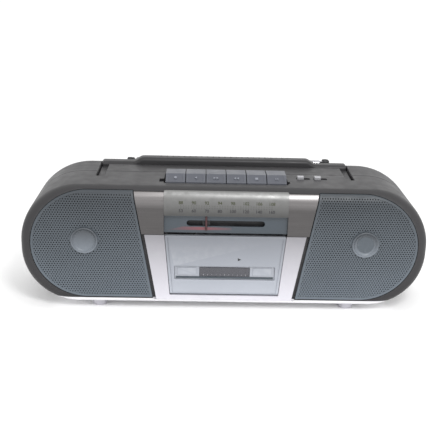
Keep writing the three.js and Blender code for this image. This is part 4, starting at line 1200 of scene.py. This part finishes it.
def pointer():
    """The needle in front of the band, its stem through the slot and its slider behind."""
    x = (pointer_low[0] + pointer_high[0]) / 2
    needle = rounded_box(
        (x - 1, x + 1), (front_y + 0.4, front_y + 2.4), (pointer_low[2], pointer_high[2]), 0.35
    )
    stem = rounded_box((x - 1, x + 1), (front_y + 0.6, front_y + 7.1), (slot_z - 2, slot_z + 2), 0.2)
    slider = rounded_box((x - 4, x + 4), (front_y + 5.2, front_y + 7.1), (slot_z - 4, slot_z + 4), 0.3)
    return needle, merge(stem, slider)


def slot_backing():
    """A black plate behind the slot, so that nothing shows through it."""
    deep = front_y + 9.2
    return rounded_box((-slot_half - 4, slot_half + 4), (deep, deep + 0.6), (slot_z - 5, slot_z + 5), 0.2)


def surround():
    outline = panel_outline(panel_bottom_z, surround_high[2], 0, -surround_groove)
    made = front_layer(outline, -panel_proud, panel_thickness)
    return cut(made, prism(door_outline(slip), "y", -100, 0))


piece(
    upper_panel(), "brushed_panel", "cabinet", finish_of("brushed_trim"),
    "upper_panel", 0.35
)
piece(dial_scale(), "dial_scale_plate", "cabinet", finish_of("scale_print"), "dial_scale", 0.3)
olive = plastic("scale_olive", (0.03, 0.034, 0.01), 0.5, 0.0004, 0.00001, 0.05, 0).material
black_print = plastic("scale_black", (0.012, 0.012, 0.014), 0.5, 0.0004, 0.00001, 0.05, 0).material
high_numbers = ["88", "90", "92", "94", "98", "102", "106", "108"]
low_numbers = ["53", "60", "70", "80", "100", "120", "140", "160"]
piece(
    scale_marks(high_numbers, upper_row_z, 46, True), "scale_upper_figures", "cabinet",
    olive
)
piece(
    scale_marks(low_numbers, lower_row_z, 46, False), "scale_lower_figures", "cabinet",
    black_print
)
piece(tuning_band(), "tuning_band_plate", "cabinet", finish_of("band_plastic"), "tuning_band")
piece(band_stripe(), "band_stripe", "cabinet", stripe_paint())
needle, slider = pointer()
piece(needle, "dial_needle", "pointer", finish_of("pointer_red"), "dial_pointer")
piece(slider, "dial_slider", "pointer", finish_of("black_plastic"))
piece(slot_backing(), "slot_backing", "cabinet", finish_of("black_plastic"))
piece(surround(), "deck_surround", "cabinet", DECK_SILVER.material, "cassette_surround", 0.35)

# ---------------------------------------------------------------- cassette door

door_bottom_z, door_top_z = door_low[2], door_high[2]
door_face = door_low[1]
door_back = door_high[1]
hinge_y, hinge_z = pivot("door_hinge")[1:]
hinge_radius = 4.0
insert_low, insert_high = span("door_insert")
lens_low, lens_high = span("door_lens")
window_half = 52.0


def door():
    profile = (
        [(door_back, door_top_z)]
        + arc(door_face + 0.8, door_top_z - 0.8, 0.8, 1, 2, 4)
        + arc(hinge_y, hinge_z, hinge_radius, 2, 3, 12)
        + [(door_back, door_bottom_z)]
    )
    made = prism(profile, "x", -80, 80)
    made = common(made, prism(softened(door_outline(0), 1.0), "y", door_face - 1, door_back + 1))
    low, high = insert_low[2] - 0.3, insert_high[2] + 0.3
    window = rounded(-window_half, window_half, low, high, 1)
    tools = [flared(window, "y", door_face, 30, 0.5, -1)]
    line = 0.9
    depth = 0.6
    low_z = door_bottom_z + 3.2
    field = 53.4
    for side in (-1, 1):
        lean = (door_half_top - door_half_bottom) / (door_top_z - door_bottom_z) * (door_top_z - low_z)
        tools.append(
            prism(
                [
                    (side * field, low_z),
                    (side * (field + line), low_z),
                    (side * (field + line + lean), door_top_z - 2.6),
                    (side * (field + lean), door_top_z - 2.6),
                ],
                "y", door_face - 1, door_face + depth,
            )
        )
    tools.append(
        prism(
            rectangle(-field - line, field + line, low_z - line, low_z), "y", door_face - 1,
            door_face + depth
        )
    )
    return cut(made, *tools)


def door_insert():
    """The window's floor: two raised silver blocks beside the lens."""
    base_y = insert_high[1]
    plate = prism(
        rounded(insert_low[0], insert_high[0], insert_low[2], insert_high[2], 0.8), "y",
        base_y - 0.7, base_y
    )
    hole = rectangle(lens_low[0] - 0.3, lens_high[0] + 0.3, lens_low[2] - 0.3, lens_high[2] + 0.3)
    blocks = []
    for side in (-1, 1):
        x0, x1 = sorted((side * (lens_high[0] + 3.4), side * (insert_high[0] - 2.4)))
        blocks.append(
            prism(
                rounded(x0, x1, insert_low[2] + 4.4, insert_high[2] - 1.6, 0.6), "y", insert_low[1],
                base_y - 0.75, 0.5
            )
        )
    return cut(plate, prism(hole, "y", -80, 0)), together(*blocks)


def window_shadow_strip():
    """A dark strip along the foot of the window: painted shadow of the window's deep recess."""
    low = insert_low[2] + 0.8
    return rounded_box(
        (insert_low[0] + 1, insert_high[0] - 1), (insert_high[1] - 1.3, insert_high[1] - 0.5),
        (low, low + 2.2), 0.2
    )


def door_lens():
    made = rounded(lens_low[0], lens_high[0], lens_low[2], lens_high[2], 0.5)
    return prism(made, "y", lens_low[1], lens_high[1], 0.25, 0.1)


def tape_scale():
    """A scale of ticks for how much tape is left, behind the lens."""
    parts = []
    for i in range(11):
        x = (i - 5) * 4.4
        parts.append(tick(x, lens_low[2] + 1.8, 0.35, 1.6 if i % 5 == 0 else 0.9, 0.04))
    made = together(*parts)
    made.data.transform(Matrix.Translation((0, lens_low[1] - 0.02, 0)))
    return made


def door_mark():
    """A small triangle that shows which way the tape runs."""
    x, z = 15.0, 59.5
    return prism(
        [(x - 1.7, z - 1.6), (x + 1.9, z), (x - 1.7, z + 1.6)], "y", door_face - 0.05,
        door_face + 0.2
    )


def holder():
    """The pocket behind the door: two rails joined under the cassette, with a lip at the back of each."""
    low, high = span("cassette_holder")
    rail = 3.0
    inner = high[0] - rail
    shape = [
        (low[0], high[2]), (low[0], low[2]), (high[0], low[2]), (high[0], high[2]),
        (inner, high[2]), (inner, low[2] + 1.6), (-inner, low[2] + 1.6), (-inner, high[2]),
    ]
    rails = prism(shape, "y", low[1], high[1] - 1.4)
    lips = [
        rounded_box(
            sorted((side * high[0], side * (inner - 6))), (high[1] - 1.5, high[1]),
            (low[2], high[2]), 0.25
        )
        for side in (-1, 1)
    ]
    return merge(rails, *lips)


piece(door(), "door_panel", "door", finish_of("door_plastic"), "cassette_door", 0.15)
window_plate, window_blocks = door_insert()
piece(window_plate, "door_window_plate", "door", finish_of("door_plastic"))
# A dark strip painted as the shadow along the foot of the window recess.
piece(window_shadow_strip(), "door_window_shadow_strip", "door", finish_of("band_plastic"))
piece(window_blocks, "door_window_blocks", "door", finish_of("door_plastic"), "door_insert")
piece(door_lens(), "door_window_lens", "door", finish_of("lens"), "door_lens")
piece(door_mark(), "door_arrow", "door", black_print)
piece(tape_scale(), "window_scale", "door", finish_of("knob_silver"))
piece(holder(), "tape_pocket", "door", finish_of("black_plastic"), "cassette_holder", 0.2)

# ---------------------------------------------------------------- keys, handle and aerial

key_high = span("key_play")[1]
key_top = key_high[2]
key_axle_y, key_axle_z = pivot("key_play_press")[1:]


def key_profile():
    """A key in side view: a flat top with a sloping front, a front lip and a leg down to the axle."""
    slope_end = key_front + 11
    leg = 3.5
    outline = [
        (key_front, top_z - 1.5), (key_front + 2.4, top_z - 1.5), (slope_end + 1, key_top - 3),
        (key_axle_y - leg, key_top - 4),
    ]
    outline += arc(key_axle_y, key_axle_z, leg, 2, 4, 12)
    outline += [
        (key_axle_y + leg, top_z), (key_axle_y + leg, key_top - 1), (slope_end, key_top),
        (key_front, top_z + 0.8)
    ]
    radii = [0.5, 0.3, 0.8, 0.5] + [0] * 13 + [0.3, 0.8, 1.6, 0.6]
    return softened(outline, radii, 4)


def key_cap(node):
    low, high = span(node)
    made = prism(key_profile(), "x", low[0], high[0], 0.28, 0.28, 3)
    x = (low[0] + high[0]) / 2
    # a shallow finger dish across the sloping front
    slope = math.atan2(key_top - top_z - 0.8, 11)
    dish = rod("x", 60, low[0] + 2.2, high[0] - 2.2, (0, 0), 1.2, 160)
    reach = 60 - 0.5
    centre = (
        (key_front + 5.5) - math.sin(slope) * reach,
        (key_top + top_z + 0.8) / 2 + math.cos(slope) * reach
    )
    dish.data.transform(Matrix.Translation((0, *centre)))
    hole = rod("x", 1.85, low[0] - 2, high[0] + 2, (key_axle_y, key_axle_z), steps=24)
    return cut(made, dish, hole), x


def on_slope(obj, x):
    """Turns a flat mark, made around the origin in X and Z, onto a key's sloping front."""
    slope = math.atan2(key_top - top_z - 0.8, 11)
    place = Matrix.Translation((x, key_front + 5.5 - 0.02, (key_top + top_z + 0.8) / 2 + 0.02))
    obj.data.transform(place @ Matrix.Rotation(slope - math.pi / 2, 4, "X"))
    return obj


MARK = 1.5


def triangle_mark(x, size=MARK, turn=1):
    return prism(
        [(x - turn * size * 0.8, -size), (x + turn * size * 0.8, 0), (x - turn * size * 0.8, size)],
        "y", -0.55, 0.5
    )


def bar_mark(x, width=0.7, size=MARK):
    return prism(rectangle(x - width / 2, x + width / 2, -size, size), "y", -0.55, 0.5)


KEY_MARKS = {
    "record": lambda: [prism(arc(0, 0, MARK, 0, 4, 24)[:-1], "y", -0.55, 0.5)],
    "play": lambda: [triangle_mark(0, turn=-1)],
    "rewind": lambda: [triangle_mark(-1.5), triangle_mark(1.5)],
    "fast_forward": lambda: [triangle_mark(-1.5, turn=-1), triangle_mark(1.5, turn=-1)],
    "stop_eject": lambda: [prism(rectangle(-MARK, MARK, -MARK, MARK), "y", -0.55, 0.5)],
    "pause": lambda: [bar_mark(-1.0), bar_mark(1.0)],
}

def key_row_gap_shade(side, width, depth):
    """A black block at an end of the key row, a little proud of the top: painted shade for the dark gap there."""
    row_half = max(span(node)[1][0] for node in key_nodes)
    x0, x1 = sorted((side * (row_half + 1.6), side * (row_half + 1.6 + width)))
    return rounded_box((x0, x1), (key_front + 3, key_front + 3 + depth), (top_z - 1, top_z + 0.4), 0.3)


# A near-black, matte, nearly unreflecting finish: painted shade for the gaps at the key row's ends.
gap_shade_black = plastic("gap_shade_black", (0.005, 0.005, 0.006), 0.8, 0.0006, 0.00003, 0.05, 0)
gap_shade_black.shader.inputs["Specular IOR Level"].default_value = 0.05
for side, word, width, depth in ((-1, "left", 5, 9), (1, "right", 2.2, 5)):
    piece(key_row_gap_shade(side, width, depth), word + "_key_gap_shade", "cabinet", gap_shade_black.material)

key_print = plastic("key_print", (0.20, 0.21, 0.24), 0.4, 0.0005, 0.00001, 0.05, 0).material
for node in key_nodes:
    name = node.removeprefix("key_")
    made, x = key_cap(node)
    piece(made, name + "_key", node, finish_of("key_plastic"), node)
    marks = on_slope(together(*KEY_MARKS[name]()), x)
    piece(marks, name + "_mark", node, key_print)
axle_low, axle_high = span("key_axle")
piece(
    rod("x", 1.5, axle_low[0], axle_high[0], (key_axle_y, key_axle_z), 0.3),
    "key_row_axle", "cabinet", finish_of("steel"), "key_axle",
)


def section(x, y0, y1, z0, z1, radius):
    return at("x", x, rounded(y0, y1, z0, z1, radius, 7))


def eased(share):
    return share * share * (3 - 2 * share)


grip_half = 92.0


def handle_bar():
    """The bar between the arms: it swells up into the grip, and its ends are rounded."""
    outer = arm_x + arm_width / 2
    stations = [
        (
            outer - 2.5 + 2.5 * math.cos(t), 2.5 - 2.5 * math.sin(t), bar_top
        ) for t in np.linspace(0, math.pi / 2, 6)
    ]
    stations.append((grip_half + 10, 0, bar_top))
    for share in np.linspace(0, 1, 12):
        stations.append((grip_half + 10 - 12 * share, 0, bar_top + (grip_top - bar_top) * eased(share)))
    stations.append((0, 0, grip_top))
    rings = []
    for x, shrink, high in stations:
        rings.append(
            section(x, grip_front + shrink, grip_back - shrink, bar_low + shrink, high - shrink, 3.9)
        )
    left = [[(-x, y, z) for x, y, z in ring] for ring in rings[:-1]]
    return loft(rings + left[::-1])


def handle_arm(side):
    inner, outer = sorted((side * (arm_x - arm_width / 2), side * (arm_x + arm_width / 2)))
    profile = arc(pivot_y, pivot_z, arm_half_height, 1, 3, 20) + [
        (grip_back - 6, pivot_z - arm_half_height),
        (grip_back - 6, bar_top - 1.4),
        (grip_front, pivot_z + arm_half_height),
    ]
    return prism(profile, "x", inner, outer, 1.2, 1.2, 4)


def handle():
    made = merge(handle_bar(), handle_arm(-1), handle_arm(1))
    # a fine ribbed field on the grip's top
    ribs = []
    for i in range(23):
        x = (i - 11) * 6.4
        ribs.append(rod("y", 0.7, grip_front + 3.2, grip_back - 3.2, (x, grip_top + 0.25), 0.3, 16))
    hole = rod("x", 2.8, -200, 200, (pivot_y, pivot_z), steps=32)
    return cut(made, *ribs, hole)


def pin(word):
    low, high = span(word + "_handle_pin")
    made = rod("x", 2.5, low[0], high[0], (pivot_y, pivot_z), 0.4)
    return made


piece(handle(), "carry_handle", "handle", paint, "handle", sharp=40)
for word in ("left", "right"):
    piece(pin(word), word + "_pivot_pin", "cabinet", finish_of("steel"), word + "_handle_pin")

tube_low, tube_high = span("aerial_tube")
middle_low, middle_high = span("aerial_middle")
tip_low, tip_high = span("aerial_tip")
tube_radius = 3.2
aerial_line = (post_y, aerial_z)


def aerial_tube():
    """The outer section: a thin tube with a rolled mouth, and the flat eye it tilts on."""
    bore = tube_radius - 0.6
    mouth = tube_low[0]
    start = post_x - 6
    profile = [(bore, mouth)] + [(tube_radius - 0.3 + a, mouth + 0.3 - b) for a, b in arc(0, 0, 0.3, 1, 0, 3)]
    profile += [(tube_radius, mouth + 4), (tube_radius - 0.25, mouth + 4.5), (tube_radius, mouth + 5)]
    profile += [(tube_radius, start - 1.2), (tube_radius - 0.3, start - 0.3), (bore, start - 0.3)]
    made = lathe(profile, "x", aerial_line, 40, closed=True)
    eye = prism(
        arc(post_x, aerial_z, 3.4, 3, 5, 16) + [(start - 2, aerial_z + 1.9), (start - 2, aerial_z - 1.9)],
        "y", post_y - 1.8, post_y + 1.8, 0.3, 0.3
    )
    eye = cut(eye, rod("y", 1.3, post_y - 9, post_y + 9, (post_x, aerial_z), steps=24))
    return together(made, eye)


def aerial_middle():
    return lathe(
        [
            (1.6, middle_low[0]), (2.0, middle_low[0]), (2.2, middle_low[0] + 0.3),
            (2.2, middle_high[0]), (1.6, middle_high[0])
        ],
        "x", aerial_line, 32, closed=True,
    )


def aerial_tip():
    """The button at the end, on the innermost section."""
    radius = 3.0
    start = tip_low[0]
    profile = [(0, start)] + [
        (radius * math.sin(t), start + 1.6 * (1 - math.cos(t))) for t in np.linspace(0.2, math.pi / 2, 8)
    ]
    profile += [
        (radius, start + 5.6), (radius - 0.5, start + 6.2), (radius, start + 6.8),
        (radius - 0.4, start + 8.2)
    ]
    profile += [(1.2, start + 8.8), (1.2, tip_high[0]), (0, tip_high[0])]
    return lathe(profile, "x", aerial_line, 36)


def aerial_post():
    """The swivel: a round post with a fork that the outer section tilts in."""
    low, high = span("aerial_post")
    profile = [
        (0, low[2]), (2.2, low[2]), (2.2, aerial_z - 11.2), (4.6, aerial_z - 11.2),
        (5, aerial_z - 10.8), (5, aerial_z + 2.4)
    ]
    profile += [
        (5 - 1.6 + a, aerial_z + 2.4 + b) for a, b in arc(0, 0, 1.6, 0, 1, 6)
    ][1:] + [(0, aerial_z + 4)]
    made = lathe(profile, "z", (post_x, post_y), 48)
    slot = rounded_box(
        (post_x - 30, post_x + 30), (post_y - 2.1, post_y + 2.1), (aerial_z - 4.2, aerial_z + 30),
        0.2
    )
    side_room = prism(
        rectangle(post_x - 40, post_x - 3.4, post_y - 9, post_y + 9), "z", aerial_z - 4.2,
        aerial_z + 30
    )
    hole = rod("y", 1.3, post_y - 9, post_y + 9, (post_x, aerial_z), steps=24)
    return cut(made, slot, side_room, hole)


piece(
    aerial_tube(), "aerial_outer_section", "aerial_mast",
    finish_of("aerial_chrome"), "aerial_tube"
)
piece(
    aerial_middle(), "aerial_middle_section", "aerial_middle",
    finish_of("aerial_chrome"), "aerial_middle"
)
piece(aerial_tip(), "aerial_button", "aerial_end", finish_of("black_plastic"), "aerial_tip")
piece(
    aerial_post(), "aerial_swivel_post", "aerial_base", finish_of("black_plastic"),
    "aerial_post"
)
pin_low, pin_high = span("aerial_axle")
piece(
    rod("y", 1.0, pin_low[1], pin_high[1], (post_x, aerial_z), 0.2),
    "aerial_tilt_pin", "aerial_base", finish_of("steel"), "aerial_axle",
)

# ---------------------------------------------------------------- switches, wheels and back


def switch_knob(node):
    low, high = span(node)
    x = (low[0] + high[0]) / 2
    y = (low[1] + high[1]) / 2
    cap = rounded_box((low[0], high[0]), (low[1], high[1]), (top_z - 1.2, high[2]), 0.7)
    neck = prism(rectangle(x - 2, x + 2, y - 1, y + 1), "z", low[2], top_z - 0.5)
    grooves = [
        rod(
            "y", 0.35, low[1] - 1, high[1] + 1, (x + step * 1.5, high[2] + 0.05), steps=12
        ) for step in (-1, 0, 1)
    ]
    return cut(merge(cap, neck), *grooves)


def thumbwheel(node, joint):
    """A wheel with rounded ribs round its rim, a shallow dish in its top face and a bore up from below."""
    low, high = span(node)
    x, y = pivot(joint)[:2]
    ribs = 48
    outline = []
    for i in range(ribs * 4):
        angle = i / (ribs * 4) * 2 * math.pi
        radius = wheel_radius - 0.45 * (1 - math.cos(ribs * angle))
        outline.append((x + radius * math.cos(angle), y + radius * math.sin(angle)))
    made = prism(outline, "z", low[2], high[2], 0.5, 0.5, 3)
    dishes = [
        rod("z", wheel_radius - 4, high[2] - 0.8, high[2] + 5, (x, y), steps=48),
        rod("z", 3.4, low[2] - 1, high[2] - 2, (x, y), steps=24),
    ]
    return cut(made, *dishes)


piece(
    switch_knob("function_switch"), "function_knob", "function_slider",
    finish_of("knob_silver"), "function_switch"
)
piece(
    switch_knob("band_switch"), "band_knob", "band_slider", finish_of("knob_silver"),
    "band_switch"
)
for node, joint, moving in (
    ("volume_wheel", "volume_turn", "volume"), ("tuning_wheel", "tuning_turn", "tuning")
):
    piece(
        thumbwheel(node, joint), node + "_rim", moving, finish_of("black_plastic"),
        node, sharp=50
    )


def battery_lid():
    """The battery door: a flat lid with a finger hollow, three small grip bars in the hollow and rows of ribs."""
    low, high = lid_low, lid_high
    lid = prism(rounded(low[0], high[0], low[2], high[2], 1.2), "y", low[1], high[1], 0.1, 0.5)
    tools = []
    for side in (-1, 1):
        for i in range(6):
            z = (low[2] + high[2]) / 2 - 12 + i * 4.8
            tools.append(
                prism(
                    rounded(*sorted((side * 40, side * 88)), z - 0.6, z + 0.6, 0.59), "y",
                    high[1] - 0.45, high[1] + 3
                )
            )
    hollow = rounded(-13, 13, high[2] - 13, high[2] - 3, 4.9, 8)
    tools.append(
        loft(
            [
                at("y", high[1] - 1.2, grown(hollow, -2.2)),
                at("y", high[1] - 0.8, grown(hollow, -1.0)), at("y", high[1] + 0.01, hollow),
                at("y", high[1] + 3, hollow)
            ]
        )
    )
    lid = cut(lid, *tools)
    grips = [
        prism(
            rounded(-7, 7, high[2] - 10.4 + i * 2.0, high[2] - 9.6 + i * 2.0, 0.39), "y",
            high[1] - 1.3, high[1] - 0.6, 0, 0.2
        )
        for i in range(3)
    ]
    return together(lid, *grips)


def screw(node):
    """A cross-head screw, sunk in its well."""
    low, high = span(node)
    x, _, z = middle_of(node)
    radius = (high[0] - low[0]) / 2
    top = high[1]
    profile = [(0, low[1]), (0.8, low[1] + 0.6), (1.5, low[1] + 2), (1.5, top - 3.2), (radius, top - 2.0)]
    profile += [(radius, top - 1.2)] + [
        (radius * math.cos(t), top - 1.2 + 1.2 * math.sin(t)) for t in np.linspace(0.2, math.pi / 2, 6)
    ]
    made = lathe(profile[:-1] + [(0, top)], "y", (x, z), 40)
    slots = [
        prism(rectangle(x - 2.3, x + 2.3, z - 0.45, z + 0.45), "y", top - 1.4, top + 2),
        prism(rectangle(x - 0.45, x + 0.45, z - 2.3, z + 2.3), "y", top - 1.4, top + 2),
    ]
    return cut(made, merge(*slots))


def inlet():
    """The housing of a two-pin mains inlet: a black block with a well; the pins are made by inlet_pins."""
    low, high = inlet_low, inlet_high
    x, _, z = middle_of("mains_inlet")
    block = prism(rounded(low[0], high[0], low[2], high[2], 0.7), "y", low[1], high[1], 0.2, 0.5)
    half = 4.5
    well = rounded(x - 8, x + 8, z - half, z + half, half - 0.1, 10)
    block = cut(block, flared(well, "y", high[1], 12, 0.5))
    return block


def inlet_pins():
    low, high = inlet_low, inlet_high
    x, _, z = middle_of("mains_inlet")
    pins = [rod("y", 1.2, low[1] + 2, high[1] - 4, (x + side * 4.2, z), 0.5, 24) for side in (-1, 1)]
    return together(*pins)


piece(battery_lid(), "battery_cover", "battery_lid", paint, "battery_door")
for i, node in enumerate(SCREW_NODES):
    piece(screw(node), "case_screw_%d" % (i + 1), "cabinet", finish_of("steel"), node)
piece(inlet(), "inlet_housing", "cabinet", finish_of("black_plastic"), "mains_inlet")
piece(inlet_pins(), "inlet_pins", "cabinet", finish_of("steel"))

# ---------------------------------------------------------------- what is inside keeps its CAD shape

for item in frame["record"]["subparts"]:
    node = frame["nodes"][item["node"]]
    if node.hide_render:
        continue
    node.data.materials.clear()
    node.data.materials.append(finish_of(item["material_slot"]))
